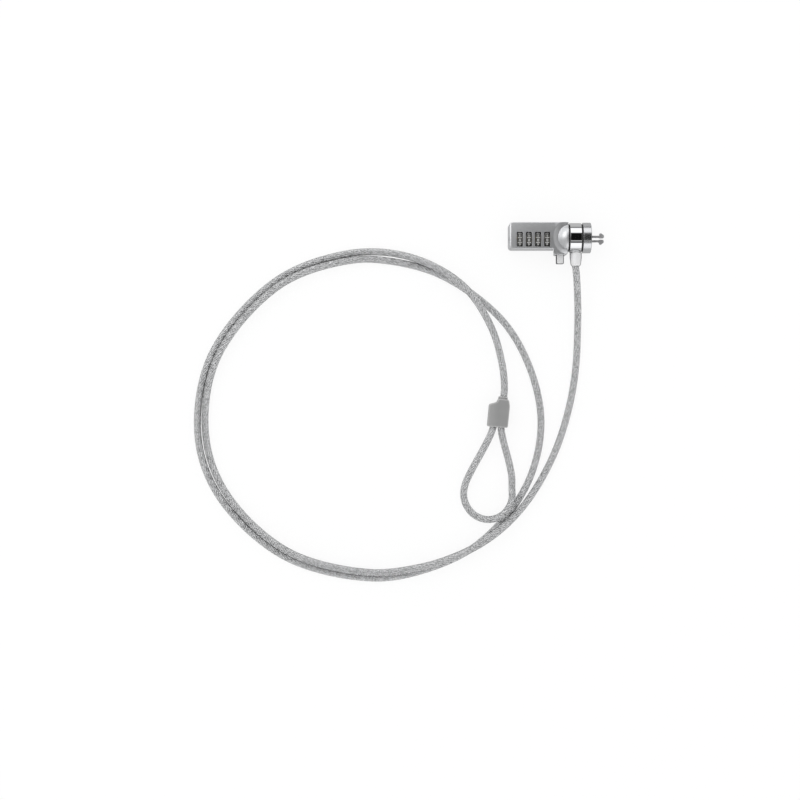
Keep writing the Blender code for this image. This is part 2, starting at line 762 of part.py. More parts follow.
# ---- Barrel ---------------------------------------------------------------------------------------
def make_barrel():
    """The hollow core that the collar turns on, its washers, and the nose cap with its pin."""
    core_end = NOSE - WALL
    core = turned(
        "barrel_core",
        "X",
        (0, 0, BARREL_Z),
        (
            (FLANGE_LEFT, FLANGE_R),
            (FLANGE_RIGHT, FLANGE_R),
            (FLANGE_RIGHT, CORE_R),
            (core_end, CORE_R),
            (core_end, CORE_BORE_R),
            (FLANGE_LEFT, CORE_BORE_R),
        ),
        STEEL,
        32,
    )
    pin_x = 32.4
    pin_r = 0.6
    cut(
        core,
        cylinder("pivot_way", "Z", (PIVOT_X, HOOK_Y, BARREL_Z), PIVOT_R + 0.12, 16.0, sides=16),
        cylinder("nose_pin_way", "Z", (pin_x, 0, 2.5), pin_r + RUN, 6.0, sides=14),
    )
    bore = CORE_R + RUN
    inner = tube_profile(BODY_RIGHT + SEAM, RING_LEFT - RUN, WASHER_R, bore)
    outer = tube_profile(RING_RIGHT + RUN, CAP_LEFT - SEAM, WASHER_R, bore)
    turned("inner_washer", "X", (0, 0, BARREL_Z), inner, BLACK, 32)
    turned("outer_washer", "X", (0, 0, BARREL_Z), outer, BLACK, 32)
    edge = 0.45
    cap = turned(
        "nose_cap",
        "X",
        (0, 0, BARREL_Z),
        (
            (core_end + SEAM, 0.0),
            (core_end + SEAM, bore),
            (CAP_LEFT, bore),
            (CAP_LEFT, BARREL_R - edge / 2),
            (CAP_LEFT + edge / 2, BARREL_R),
            (NOSE - edge, BARREL_R),
            (NOSE, BARREL_R - edge),
            (NOSE, 0.0),
        ),
        SATIN,
        40,
    )
    slot_y, slot_z = 2.45, HOOK_THICKNESS + HOOK_GAP / 2 + 0.2
    across = (HOOK_Y - slot_y, HOOK_Y + slot_y)
    upright = (BARREL_Z - slot_z, BARREL_Z + slot_z)
    hook_way = box("hook_way", (core_end - 2, NOSE + 2), across, upright)
    pin_way = cylinder("cap_pin_way", "Z", (pin_x, 0, 2.0), pin_r + RUN, 6.0, sides=14)
    cut(cap, hook_way, pin_way)
    cylinder("nose_pin", "Z", (pin_x, 0, 2.4), pin_r, 4.2, STEEL, sides=14)


# ---- Swivel collar and the cable's end ------------------------------------------------------------
FERRULE_TOP = -8.6
ROPE_START = -11.6
JACKET_START = -15.0
FERRULE_PIN_Y = -10.2
FERRULE_PIN_R = 0.6


def make_collar():
    """The chromed ring and its tongue, which is bored for the cable, a ferrule and a cross pin."""
    middle = (0, 0, BARREL_Z)
    edge = 0.25
    ring = turned(
        "swivel_collar",
        "X",
        middle,
        (
            (RING_LEFT, RING_R - edge),
            (RING_LEFT + edge, RING_R),
            (RING_RIGHT - edge, RING_R),
            (RING_RIGHT, RING_R - edge),
            (RING_RIGHT, CORE_R + RUN),
            (RING_LEFT, CORE_R + RUN),
        ),
        CHROME,
        40,
    )
    end = -TONGUE_END
    profile = (
        (end, 0.0),
        (end, 2.65),
        (end - 0.6, 2.95),
        (end - 1.5, 3.15),
        (end - 3.0, TONGUE_R),
        (7.0, TONGUE_R),
        (7.0, 0.0),
    )
    tongue = turned("tongue", "Y", (TONGUE_X, 0, BARREL_Z), [(-a, r) for a, r in profile], None, 20)
    depth = -TONGUE_END + 1.0 + FERRULE_TOP + 0.15
    bore_middle = (TONGUE_X, TONGUE_END - 1.0 + depth / 2, BARREL_Z)
    bore = cylinder("cable_way", "Y", bore_middle, CABLE_R + 0.2, depth)
    pin_middle = (TONGUE_X, FERRULE_PIN_Y, BARREL_Z)
    pin_way = cylinder("ferrule_pin_way", "X", pin_middle, FERRULE_PIN_R + SEAM, 12.0, sides=16)
    join(ring, tongue)
    cut(ring, bore, pin_way)
    ferrule = turned(
        "cable_ferrule",
        "Y",
        (TONGUE_X, 0, BARREL_Z),
        (
            (ROPE_START + 0.3, 0.0),
            (ROPE_START + 0.3, ROPE_R + 0.15),
            (JACKET_START + 0.3, ROPE_R + 0.15),
            (JACKET_START + 0.3, CABLE_R),
            (FERRULE_TOP, CABLE_R),
            (FERRULE_TOP, 0.0),
        ),
        STEEL,
        24,
    )
    cut(ferrule, pin_way)
    cylinder("ferrule_pin", "X", pin_middle, FERRULE_PIN_R, 6.5, STEEL, sides=16)


# ---- Cable ----------------------------------------------------------------------------------------
def cover_point(u, v, height=COVER_THICKNESS / 2):
    """A point given in the loop cover's own frame, u across it and v up along the cable."""
    across = Vector((math.cos(COVER_TILT), -math.sin(COVER_TILT)))
    along = Vector((math.sin(COVER_TILT), math.cos(COVER_TILT)))
    place = Vector((COVER_X, COVER_Y)) + across * u + along * v
    return Vector((place.x, place.y, height))


def cable_knots():
    """The points that the cable passes through, from the collar to its crimped end in the loop cover."""
    knots = [
        Vector((TONGUE_X, JACKET_START, BARREL_Z)),
        Vector((TONGUE_X + 0.1, -24.0, BARREL_Z - 0.6)),
        Vector((TONGUE_X + 1.4, -42.0, BARREL_Z - 3.4)),
    ]
    for angle, radius, height in LAY:
        turn = math.radians(angle)
        knots.append(Vector((COIL_X + radius * math.cos(turn), COIL_Y + radius * math.sin(turn), height)))
    knots += [cover_point(STRAND_OFFSET, v) for v in (16.0, 9.5, 0.0, -9.5)]
    sweep = arc((LOOP_X, LOOP_Y), LOOP_R, 22, -202, 8)
    knots += [Vector((x, y, height)) for (x, y), height in zip(sweep, LOOP_HEIGHTS)]
    knots += [cover_point(-STRAND_OFFSET - 0.1, v) for v in (-9.5, 0.0, 4.4)]
    return knots


def smooth_run(knots):
    """Points on a smooth curve through the knots (centripetal Catmull-Rom), closer together in bends."""
    ends = [2 * knots[0] - knots[1], *knots, 2 * knots[-1] - knots[-2]]
    fine = []
    for p0, p1, p2, p3 in zip(ends, ends[1:], ends[2:], ends[3:]):
        t1 = (p1 - p0).length ** 0.5
        t2 = t1 + (p2 - p1).length ** 0.5
        t3 = t2 + (p3 - p2).length ** 0.5
        for step in range(CURVE_SHARES):
            t = t1 + (t2 - t1) * step / CURVE_SHARES
            a1 = p0.lerp(p1, t / t1)
            a2 = p1.lerp(p2, (t - t1) / (t2 - t1))
            a3 = p2.lerp(p3, (t - t2) / (t3 - t2))
            b1 = a1.lerp(a2, t / t2)
            b2 = a2.lerp(a3, (t - t1) / (t3 - t1))
            fine.append(b1.lerp(b2, (t - t1) / (t2 - t1)))
    fine.append(knots[-1])
    points = [fine[0]]
    owed = 0.0
    for before, here, after in zip(fine, fine[1:], fine[2:]):
        owed += (here - before).length / CABLE_STEP
        owed += (here - before).angle(after - here, 0.0) / CABLE_TURN
        if owed >= 1.0:
            points.append(here)
            owed -= 1.0
    points.append(fine[-1])
    return points


def make_cable():
    """The clear jacket as a tube, and the wire rope in it, which runs on into the ferrule in the tongue."""
    run = smooth_run(cable_knots())
    jacket = wire("cable_jacket", run, CABLE_R, PVC, resolution=2, caps=False)
    shell = jacket.modifiers.new("wall", "SOLIDIFY")
    shell.thickness = JACKET_WALL * MM
    shell.offset = -1.0
    rope_start = Vector((TONGUE_X, ROPE_START, BARREL_Z))
    wire("wire_rope", [rope_start, *run], ROPE_R, STEEL, resolution=2)


def make_loop_end():
    """The crimped oval ferrule that closes the loop, and the soft cover moulded over it."""
    middle = Vector((COVER_X, COVER_Y, COVER_THICKNESS / 2)) * MM
    place = Matrix.Translation(middle) @ Matrix.Rotation(-COVER_TILT, 4, "Z")
    cover = flat_plate("loop_cover", [COVER_OUTLINE], COVER_THICKNESS, place, GREY_PVC)
    bevel = cover.modifiers.new("edges", "BEVEL")
    bevel.width = 1.2 * MM
    bevel.segments = 2
    bevel.limit_method = "ANGLE"
    half_width, half_height = STRAND_OFFSET + CABLE_R + 0.15, CABLE_R + 0.2
    ferrule_half = (half_width + 0.5, half_height + 0.5)
    length = (-5.6, 2.8)

    def local_box(name, u, v, w, material=None, edge=0.0):
        obj = box(name, u, v, w, material, edge)
        obj.matrix_world = place
        return obj

    ferrule = local_box(
        "loop_ferrule",
        (-ferrule_half[0], ferrule_half[0]),
        length,
        (-ferrule_half[1], ferrule_half[1]),
        ALUMINIUM,
        edge=1.0,
    )
    strand_width = (-half_width, half_width)
    strand_height = (-half_height, half_height)
    strands = local_box("strand_way", strand_width, (-14.0, 5.2), strand_height, edge=1.0)
    main_way = cylinder("main_strand_way", "Y", (0, 0, 0), CABLE_R + 0.25, 30.0, sides=16)
    main_middle = Matrix.Translation(Vector((STRAND_OFFSET, 6.0, 0)) * MM)
    main_way.matrix_world = place @ main_middle @ AXIS_TURNS["Y"]
    room = local_box(
        "ferrule_room",
        (-ferrule_half[0] - SEAM, ferrule_half[0] + SEAM),
        (length[0] - SEAM, length[1] + SEAM),
        (-ferrule_half[1] - SEAM, ferrule_half[1] + SEAM),
    )
    cut(ferrule, strands)
    cut(cover, strands, room, main_way)


# ---- Joint axes -----------------------------------------------------------------------------------
def axis_empty(name, point, parent=None, carries=()):
    """An empty on a joint's axis that carries pieces, which keep their places."""
    empty = bpy.data.objects.new(name, None)
    empty.empty_display_size = 3.0 * MM
    PARTS.objects.link(empty)
    place = Matrix.Translation(Vector(point) * MM)
    empty.matrix_world = place
    if parent is not None:
        adopt(parent, empty)
    for carried in carries:
        adopt(empty, bpy.data.objects[carried])
    return empty


def adopt(parent, child):
    bpy.context.view_layer.update()
    place = child.matrix_world.copy()
    child.parent = parent
    child.matrix_parent_inverse = parent.matrix_world.inverted()
    child.matrix_world = place


def make_axes():
    """One empty for each body of the head, on the axis that it turns or slides along."""
    fixed = ["front_shell", "back_shell", "barrel_core", "nose_cap", "nose_pin", "inner_washer"]
    fixed += ["outer_washer", "hook_pivot_pin", "hook_spring", "detent_spring", "spindle_spring"]
    fixed += [f"case_rivet_{number}" for number in range(1, len(RIVETS) + 1)]
    head = axis_empty("head_axis", (BODY_RIGHT, 0, BARREL_Z), carries=fixed)
    for number, x in enumerate(dial_centres(), 1):
        pieces = (f"dial_{number}", f"dial_sleeve_{number}")
        axis_empty(f"dial_axis_{number}", (x, DIAL_Y, DIAL_Z), head, pieces)
    pivot = (PIVOT_X, HOOK_Y, BARREL_Z)
    axis_empty("upper_hook_axis", pivot, head, ["upper_hook"])
    axis_empty("lower_hook_axis", pivot, head, ["lower_hook"])
    axis_empty("button_axis", (BUTTON_X, BUTTON_TIP, BARREL_Z), head, ["push_button"])
    axis_empty("spindle_axis", (0, DIAL_Y, DIAL_Z), head, ["spindle", "release_yoke"])
    axis_empty("reset_axis", (BODY_LEFT, DIAL_Y, DIAL_Z), head, ["reset_screw"])


make_shells()
make_rivets()
make_dials()
make_sleeves()
make_spindle()
make_spindle_spring()
make_reset_screw()
make_detent_spring()
make_button()
make_yoke()
make_hooks()
make_barrel()
make_collar()
make_cable()
make_loop_end()
make_axes()
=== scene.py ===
"""The looks of the laptop cable lock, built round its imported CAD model.

Every visible piece is rebuilt finely here, in the CAD's frame: +X towards the nose, +Y away from the
button and cable, +Z out of the dial face, origin under the dial row on the flat back. Sizes are in
millimetres until they meet Blender.
"""

import json
import math

import bmesh
import bpy
import numpy as np
from mathutils import Matrix, Vector

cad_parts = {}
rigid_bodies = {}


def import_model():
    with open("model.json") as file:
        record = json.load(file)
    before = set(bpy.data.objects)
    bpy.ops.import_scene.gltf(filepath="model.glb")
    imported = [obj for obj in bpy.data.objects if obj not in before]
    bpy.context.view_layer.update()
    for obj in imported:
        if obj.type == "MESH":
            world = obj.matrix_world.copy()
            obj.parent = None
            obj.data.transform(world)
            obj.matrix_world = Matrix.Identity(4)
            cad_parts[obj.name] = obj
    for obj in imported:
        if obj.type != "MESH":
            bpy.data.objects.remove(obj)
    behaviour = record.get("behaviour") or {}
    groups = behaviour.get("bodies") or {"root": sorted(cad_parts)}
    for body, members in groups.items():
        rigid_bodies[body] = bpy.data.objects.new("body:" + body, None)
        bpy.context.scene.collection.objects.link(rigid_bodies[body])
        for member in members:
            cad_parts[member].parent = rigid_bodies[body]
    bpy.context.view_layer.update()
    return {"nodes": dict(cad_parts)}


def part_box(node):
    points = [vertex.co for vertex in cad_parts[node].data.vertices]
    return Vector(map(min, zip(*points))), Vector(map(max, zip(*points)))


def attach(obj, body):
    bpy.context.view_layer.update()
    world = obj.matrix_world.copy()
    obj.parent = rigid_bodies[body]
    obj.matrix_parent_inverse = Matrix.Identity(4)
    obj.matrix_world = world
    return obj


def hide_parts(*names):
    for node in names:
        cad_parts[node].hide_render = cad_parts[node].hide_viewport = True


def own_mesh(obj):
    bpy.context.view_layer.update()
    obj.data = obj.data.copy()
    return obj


MM = 0.001

for startup in list(bpy.data.objects):
    bpy.data.objects.remove(startup, do_unlink=True)
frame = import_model()


def mm_box(node):
    low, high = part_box(node)
    return low * 1000, high * 1000


def mm_middle(node):
    low, high = mm_box(node)
    return (low + high) / 2


# ---- Sizes read from the CAD ----------------------------------------
front_low, front_high = mm_box("front_shell")
back_high = mm_box("back_shell")[1]
dial_low, dial_high = mm_box("dial_1")
DIALS = (1, 2, 3, 4)
ring_low, ring_high = mm_box("swivel_collar")
cap_low, cap_high = mm_box("nose_cap")
cover_low, cover_high = mm_box("loop_cover")

BODY_LEFT, BODY_RIGHT = front_low.x, front_high.x
BODY_LOW, BODY_HIGH = -6.9, 9.0
BODY_FRONT = 16.4
BARREL_Z = (cap_low.z + cap_high.z) / 2
BARREL_R = (cap_high.z - cap_low.z) / 2
SPLIT_Z = (front_low.z + back_high.z) / 2
SEAM = front_low.z - back_high.z
DOME_LENGTH = 7.8
DIAL_X = [mm_middle(f"dial_{n}").x for n in DIALS]
DIAL_Y, DIAL_Z = mm_middle("dial_1").yz
DIAL_R = (dial_high.z - dial_low.z) / 2
DIAL_WIDTH = dial_high.x - dial_low.x
DIAL_PITCH = DIAL_X[1] - DIAL_X[0]
NOSE = cap_high.x
TONGUE_X = mm_middle("ferrule_pin").x
TONGUE_MIDDLE = TONGUE_X + 0.45  # past the washers the tongue has room to stand in the ring's middle
TONGUE_R = 3.6
RUN = 0.15  # clearance round anything that turns or slides


# ---- Node helpers ----------------------------------------
class Nodes:
    """A node tree whose nodes are added in one line each."""

    def __init__(self, tree):
        self.tree = tree

    def link(self, socket, value):
        if isinstance(value, bpy.types.NodeSocket):
            self.tree.links.new(value, socket)
        else:
            socket.default_value = value

    def node(self, kind, out, attributes=(), **values):
        """One output of a new node. An input called i0, i1 and so on is taken by its number."""
        made = self.tree.nodes.new(kind)
        for key, value in attributes:
            setattr(made, key, value)
        for name, value in values.items():
            key = int(name[1:]) if name[0] == "i" and name[1:].isdigit() else name.replace("_", " ")
            self.link(made.inputs[key], value)
        return made.outputs[out]

    def split(self, vector):
        """The outputs "X", "Y" and "Z" of a vector."""
        made = self.tree.nodes.new("ShaderNodeSeparateXYZ")
        self.link(made.inputs[0], vector)
        return made.outputs

    def ramp(self, value, *stops):
        made = self.tree.nodes.new("ShaderNodeValToRGB")
        self.link(made.inputs["Fac"], value)
        elements = made.color_ramp.elements
        while len(elements) < len(stops):
            elements.new(0.5)
        for element, (position, colour) in zip(elements, stops):
            element.position = position
            grey = isinstance(colour, (int, float))
            element.color = (colour, colour, colour, 1.0) if grey else (*colour, 1.0)
        return made.outputs["Color"]

    def mix(self, factor, a, b):
        made = self.tree.nodes.new("ShaderNodeMix")
        made.data_type = "RGBA"
        self.link(made.inputs["Factor"], factor)
        for socket, value in (("A", a), ("B", b)):
            target = next(s for s in made.inputs if s.name == socket and s.type == "RGBA")
            self.link(target, (*value, 1.0) if isinstance(value, tuple) else value)
        return next(s for s in made.outputs if s.type == "RGBA")

    def math(self, operation, a, b=0.0, c=0.0):
        return self.node("ShaderNodeMath", 0, (("operation", operation),), i0=a, i1=b, i2=c)

    def path(self, *kinds):
        """1 for a ray of any of these kinds."""
        path = self.tree.nodes.new("ShaderNodeLightPath")
        found = path.outputs[f"Is {kinds[0]} Ray"]
        for kind in kinds[1:]:
            found = self.math("MAXIMUM", found, path.outputs[f"Is {kind} Ray"])
        return found

    def mirrored(self):
        """1 for what a surface mirrors, 0 for what is seen straight or through something clear."""
        return self.math("GREATER_THAN", self.path("Glossy"), self.path("Transmission"))

    def either(self, factor, a, b):
        """A mix of two shaders."""
        return self.node("ShaderNodeMixShader", 0, i0=factor, i1=a, i2=b)


class Look(Nodes):
    """A material. Texture places are object coordinates in millimetres."""

    def __init__(self, name):
        self.material = bpy.data.materials.new(name)
        self.material.use_nodes = True
        super().__init__(self.material.node_tree)
        self.shader = self.tree.nodes["Principled BSDF"]
        place = self.node("ShaderNodeTexCoord", "Object")
        self.place = self.node("ShaderNodeVectorMath", 0, (("operation", "SCALE"),), i0=place, Scale=1000.0)

    def set(self, **values):
        for name, value in values.items():
            self.link(self.shader.inputs[name.replace("_", " ")], value)

    def surface(self, shader):
        self.link(self.tree.nodes["Material Output"].inputs["Surface"], shader)

    def noise(self, scale, detail=3.0, rough=0.55, stretch=None):
        """Fine in proportion to scale, and squeezed along each axis in proportion to stretch."""
        place = self.place
        if stretch:
            place = self.node("ShaderNodeVectorMath", 0, (("operation", "MULTIPLY"),), i0=place, i1=stretch)
        settings = {"Vector": place, "Scale": scale, "Detail": detail, "Roughness": rough}
        return self.node("ShaderNodeTexNoise", "Fac", **settings)

    def bump(self, height, strength, distance_mm, onto=None):
        made = self.tree.nodes.new("ShaderNodeBump")
        made.inputs["Strength"].default_value = strength
        made.inputs["Distance"].default_value = distance_mm * MM
        self.link(made.inputs["Height"], height)
        if onto is not None:
            self.link(made.inputs["Normal"], onto)
        return made.outputs["Normal"]

    def crevice(self, reach_mm, low, high):
        """1 in a tight gap and 0 in the open, from how much lies within reach. The mask for painted shade."""
        made = self.tree.nodes.new("ShaderNodeAmbientOcclusion")
        made.samples = 6
        made.inputs["Distance"].default_value = reach_mm * MM
        return self.ramp(made.outputs["AO"], (low, 1.0), (high, 0.0))

    # A mask of sharp edges, which the materials paint paler: as wear, and on the grey moulding as a painted
    # highlight.
    def edge_wear(self, low=0.52, high=0.58):
        geometry = self.tree.nodes.new("ShaderNodeNewGeometry")
        return self.ramp(geometry.outputs["Pointiness"], (low, 0.0), (high, 1.0))


# ---- Materials ----------------------------------------
def satin_silver():
    look = Look("satin_silver_paint")
    flake = look.noise(7.0, 2.0)
    cloud = look.noise(0.25, 2.0)
    base = look.mix(cloud, (0.73, 0.74, 0.755), (0.80, 0.81, 0.825))
    base = look.mix(look.ramp(flake, (0.42, 0.0), (0.72, 0.55)), base, (0.89, 0.895, 0.90))
    base = look.mix(look.edge_wear(), base, (0.92, 0.925, 0.93))
    # Painted shade: darker in tight hollows, such as round the dome and between parts.
    base = look.mix(look.crevice(2.5, 0.35, 0.8), base, (0.34, 0.345, 0.35))
    rough = look.ramp(flake, (0.3, 0.30), (0.8, 0.40))
    normal = look.bump(flake, 0.12, 0.02)
    normal = look.bump(look.noise(1.3, 1.0), 0.06, 0.05, normal)
    look.set(Base_Color=base, Metallic=0.86, Roughness=rough, Normal=normal)
    return look.material


def bead_blasted(name, bright, turn):
    """A pale matte nickel with painted shade where it turns away from the viewer, from turn[0] to turn[1]."""
    look = Look(name)
    pits = look.noise(8.0, 3.0)
    cloud = look.noise(0.5, 2.0)
    duller = tuple(share * bright for share in (0.93, 0.93, 0.94))
    pitted = tuple(share * bright for share in (0.7, 0.7, 0.71))
    base = look.mix(cloud, duller, (bright, bright, bright))
    base = look.mix(look.ramp(pits, (0.3, 0.35), (0.5, 0.0)), base, pitted)
    # Painted shade: darkened towards the sides turned away from the viewer.
    facing = look.node("ShaderNodeLayerWeight", "Facing", Blend=0.5)
    base = look.mix(look.ramp(facing, (turn[0], 0.0), (turn[1], 1.0)), base, (0.12, 0.12, 0.125))
    look.set(
        Base_Color=base,
        Metallic=0.35,
        Roughness=look.ramp(pits, (0.3, 0.48), (0.7, 0.6)),
        Normal=look.bump(pits, 0.12, 0.02),
    )
    return look.material


def chrome():
    look = Look("chrome_plate")
    smear = look.noise(0.6, 3.0)
    scratch = look.noise(1.0, 2.0, stretch=(9.0, 0.7, 0.7))
    rough = look.ramp(smear, (0.35, 0.02), (0.8, 0.05))
    base = look.mix(smear, (0.90, 0.905, 0.915), (0.95, 0.952, 0.96))
    normal = look.bump(scratch, 0.02, 0.01)
    look.set(Base_Color=base, Metallic=1.0, Roughness=rough, Normal=normal)
    return look.material


def brushed_cap():
    look = Look("brushed_cap")
    lines = look.noise(1.0, 4.0, 0.7, stretch=(26.0, 0.35, 0.35))
    grain = look.noise(9.0, 2.0)
    base = look.mix(lines, (0.68, 0.685, 0.70), (0.86, 0.865, 0.875))
    base = look.mix(look.edge_wear(0.53, 0.6), base, (0.92, 0.92, 0.93))
    rough = look.ramp(lines, (0.2, 0.18), (0.8, 0.28))
    normal = look.bump(lines, 0.16, 0.02)
    normal = look.bump(grain, 0.05, 0.01, normal)
    look.set(Base_Color=base, Metallic=1.0, Roughness=rough, Normal=normal)
    return look.material


def steel(name, dark, light, rough=0.32, lines=(1.5, 14.0, 1.5), metallic=1.0):
    look = Look(name)
    brush = look.noise(1.0, 3.0, 0.65, stretch=lines)
    stain = look.noise(0.8, 3.0)
    base = look.mix(brush, dark, light)
    base = look.mix(look.ramp(stain, (0.55, 0.0), (0.85, 0.35)), base, tuple(0.6 * c for c in dark))
    base = look.mix(look.edge_wear(), base, tuple(min(1.0, 1.25 * c) for c in light))
    normal = look.bump(brush, 0.15, 0.015)
    look.set(
        Base_Color=base,
        Metallic=metallic,
        Roughness=look.ramp(brush, (0.2, rough - 0.08), (0.8, rough + 0.1)),
        Normal=normal,
    )
    return look.material


def plastic(name, dark, light, rough, grain=6.0, relief=0.02):
    look = Look(name)
    fine = look.noise(grain, 3.0)
    slow = look.noise(0.3, 2.0)
    base = look.mix(slow, dark, light)
    base = look.mix(look.edge_wear(0.54, 0.64), base, tuple(min(1.0, 1.3 * c + 0.01) for c in light))
    normal = look.bump(fine, 0.25, relief)
    look.set(
        Base_Color=base,
        Roughness=look.ramp(fine, (0.3, rough - 0.07), (0.75, rough + 0.08)),
        Normal=normal,
        Specular_IOR_Level=0.45,
    )
    return look.material


def soft_moulding():
    """Grey PVC with a fine leather grain and a painted highlight along its edges."""
    look = Look("grey_moulding")
    grain = look.noise(4.0, 3.0)
    slow = look.noise(0.12, 1.0)
    base = look.mix(slow, (0.24, 0.24, 0.24), (0.29, 0.29, 0.29))
    # Painted highlight: paler along the edges.
    base = look.mix(look.edge_wear(0.50, 0.56), base, (0.66, 0.66, 0.655))
    look.set(
        Base_Color=base,
        Roughness=look.ramp(grain, (0.3, 0.34), (0.75, 0.5)),
        Normal=look.bump(grain, 0.25, 0.04),
        Specular_IOR_Level=1.0,
    )
    return look.material


def rope_wire():
    """Bright drawn wires laid round each strand, with their places from the tube's lay map. The grooves
    between the wires get painted shade, and the wires' crowns get painted glints.
    """
    look = Look("rope_wire")
    lay = look.split(look.node("ShaderNodeUVMap", 0, (("uv_map", "lay"),)))
    turns = look.math("MULTIPLY", lay["X"], 2 * math.pi / WIRE_LAY)
    around = look.math("MULTIPLY", lay["Y"], 2 * math.pi * WIRES)
    wave = look.math("SINE", look.math("SUBTRACT", around, turns))
    height = look.math("MULTIPLY_ADD", wave, 0.5, 0.5)
    # Painted glints: pale speckles on the wire crowns.
    crown = look.ramp(look.noise(1.05, 1.0, 0.4), (0.36, 0.0), (0.56, 1.0))
    base = look.mix(crown, (0.60, 0.603, 0.606), (0.985, 0.987, 0.99))
    # Painted shade: dark in the grooves between the wires.
    base = look.mix(look.ramp(height, (0.03, 0.9), (0.40, 0.0)), base, (0.12, 0.12, 0.123))
    normal = look.bump(height, 0.9, 0.09)
    look.set(Base_Color=base, Metallic=0.62, Roughness=0.24, Normal=normal)
    return look.material


def clear_pvc():
    """A slightly cloudy clear cover. Light passes it unbent, so the rope inside stays lit. Where laps and
    parts lie close it is painted dark, as painted shade.
    """
    look = Look("clear_pvc")
    ripple = look.noise(0.5, 2.0)
    look.set(
        Base_Color=(0.975, 0.98, 0.985, 1.0),
        Transmission_Weight=1.0,
        IOR=1.42,
        Roughness=look.ramp(ripple, (0.3, 0.05), (0.8, 0.12)),
        Normal=look.bump(ripple, 0.12, 0.06),
    )
    # Painted shade: a dark film where the cable lies close to other laps and parts.
    gap_shade = look.node("ShaderNodeBsdfDiffuse", 0, Color=(0.02, 0.02, 0.02, 1.0))
    shaded_in_gaps = look.either(look.crevice(1.6, 0.2, 0.45), look.shader.outputs[0], gap_shade)
    clear = look.node("ShaderNodeBsdfTransparent", 0, Color=(0.97, 0.972, 0.975, 1.0))
    look.surface(look.either(look.path("Shadow", "Diffuse"), shaded_in_gaps, clear))
    return look.material


# ---- Mesh helpers ----------------------------------------
AXIS_TURNS = {
    "X": Matrix.Rotation(math.radians(90), 4, "Y"),
    "Y": Matrix.Rotation(math.radians(-90), 4, "X"),
    "Z": Matrix.Identity(4),
}


def object_of(name, bm):
    """An object with its vertices in world metres from a bmesh in millimetres."""
    bmesh.ops.scale(bm, vec=(MM, MM, MM), verts=bm.verts)
    mesh = bpy.data.meshes.new(name)
    bm.to_mesh(mesh)
    bm.free()
    obj = bpy.data.objects.new(name, mesh)
    bpy.context.scene.collection.objects.link(obj)
    return obj


def outward(bm):
    bmesh.ops.recalc_face_normals(bm, faces=bm.faces)
    if bm.calc_volume(signed=True) < 0:
        bmesh.ops.reverse_faces(bm, faces=bm.faces)
    return bm


def box(name, x, y, z):
    bm = bmesh.new()
    bmesh.ops.create_cube(bm, size=1.0)
    for vert in bm.verts:
        vert.co = [lo if c < 0 else hi for c, (lo, hi) in zip(vert.co, (x, y, z))]
    return object_of(name, outward(bm))


def cylinder(name, axis, centre, radius, length, sides=64):
    bm = bmesh.new()
    place = Matrix.Translation(Vector(centre)) @ AXIS_TURNS[axis]
    bmesh.ops.create_cone(
        bm, cap_ends=True, segments=sides, radius1=radius, radius2=radius, depth=length, matrix=place
    )
    return object_of(name, outward(bm))


def ellipsoid(name, centre, radii, columns=128, rows=65):
    bm = bmesh.new()
    bmesh.ops.create_uvsphere(bm, u_segments=columns, v_segments=rows, radius=1.0)
    bmesh.ops.transform(bm, matrix=AXIS_TURNS["X"], verts=bm.verts)
    bmesh.ops.scale(bm, vec=Vector(radii), verts=bm.verts)
    bmesh.ops.translate(bm, vec=Vector(centre), verts=bm.verts)
    return object_of(name, outward(bm))


def turned(name, axis, centre, profile, steps=128):
    """A turned solid from a closed run of (along, radius) points. One on the axis becomes one vertex."""
    bm = bmesh.new()
    turn = Matrix.Translation(Vector(centre)) @ AXIS_TURNS[axis]
    rings = []
    for along, radius in profile:
        if radius <= 0.0:
            rings.append([bm.verts.new(turn @ Vector((0.0, 0.0, along)))])
            continue
        ring = []
        for step in range(steps):
            angle = 2 * math.pi * step / steps
            point = Vector((radius * math.cos(angle), radius * math.sin(angle), along))
            ring.append(bm.verts.new(turn @ point))
        rings.append(ring)
    pairs = list(zip(rings, rings[1:]))
    if profile[0][1] > 0.0:
        pairs.append((rings[-1], rings[0]))
    for first, second in pairs:
        for step in range(steps):
            after = (step + 1) % steps
            corners = [
                first[step % len(first)],
                first[after % len(first)],
                second[after % len(second)],
                second[step % len(second)],
            ]
            unique = list(dict.fromkeys(corners))
            if len(unique) > 2:
                bm.faces.new(unique)
    return object_of(name, outward(bm))


def soft_profile(points, radius, steps=5):
    """The run of points with each inner corner replaced by a small arc."""
    result = [points[0]]
    for before, here, after in zip(points, points[1:], points[2:]):
        result += soft_corner(Vector(before), Vector(here), Vector(after), radius, steps)
    result.append(points[-1])
    return result


def soft_corner(before, here, after, radius, steps):
    """Points on a curve that leaves the corner by about radius on each side."""
    into = (before - here).length
    out = (after - here).length
    reach = min(radius, 0.45 * into, 0.45 * out)
    start = here + (before - here).normalized() * reach
    end = here + (after - here).normalized() * reach
    points = []
    for step in range(steps + 1):
        t = step / steps
        points.append(tuple(start * (1 - t) ** 2 + here * 2 * t * (1 - t) + end * t**2))
    return points


def soft_outline(points, radius, steps=5):
    """A closed outline with its corners rounded. radius is one number, or one for each corner."""
    radii = radius if isinstance(radius, (list, tuple)) else [radius] * len(points)
    result = []
    count = len(points)
    for i in range(count):
        before, here, after = (Vector(points[(i + k) % count]) for k in (-1, 0, 1))
        result += soft_corner(before, here, after, radii[i], steps)
    return result


def rectangle(half_width, half_height):
    w, h = half_width, half_height
    return [(-w, -h), (w, -h), (w, h), (-w, h)]


def is_rim(edge):
    """Whether an edge lies level between a flat side and a wall."""
    level = abs(edge.verts[0].co.z - edge.verts[1].co.z) < 1e-6
    return level and len(edge.link_faces) == 2 and edge.calc_face_angle() > 1.0


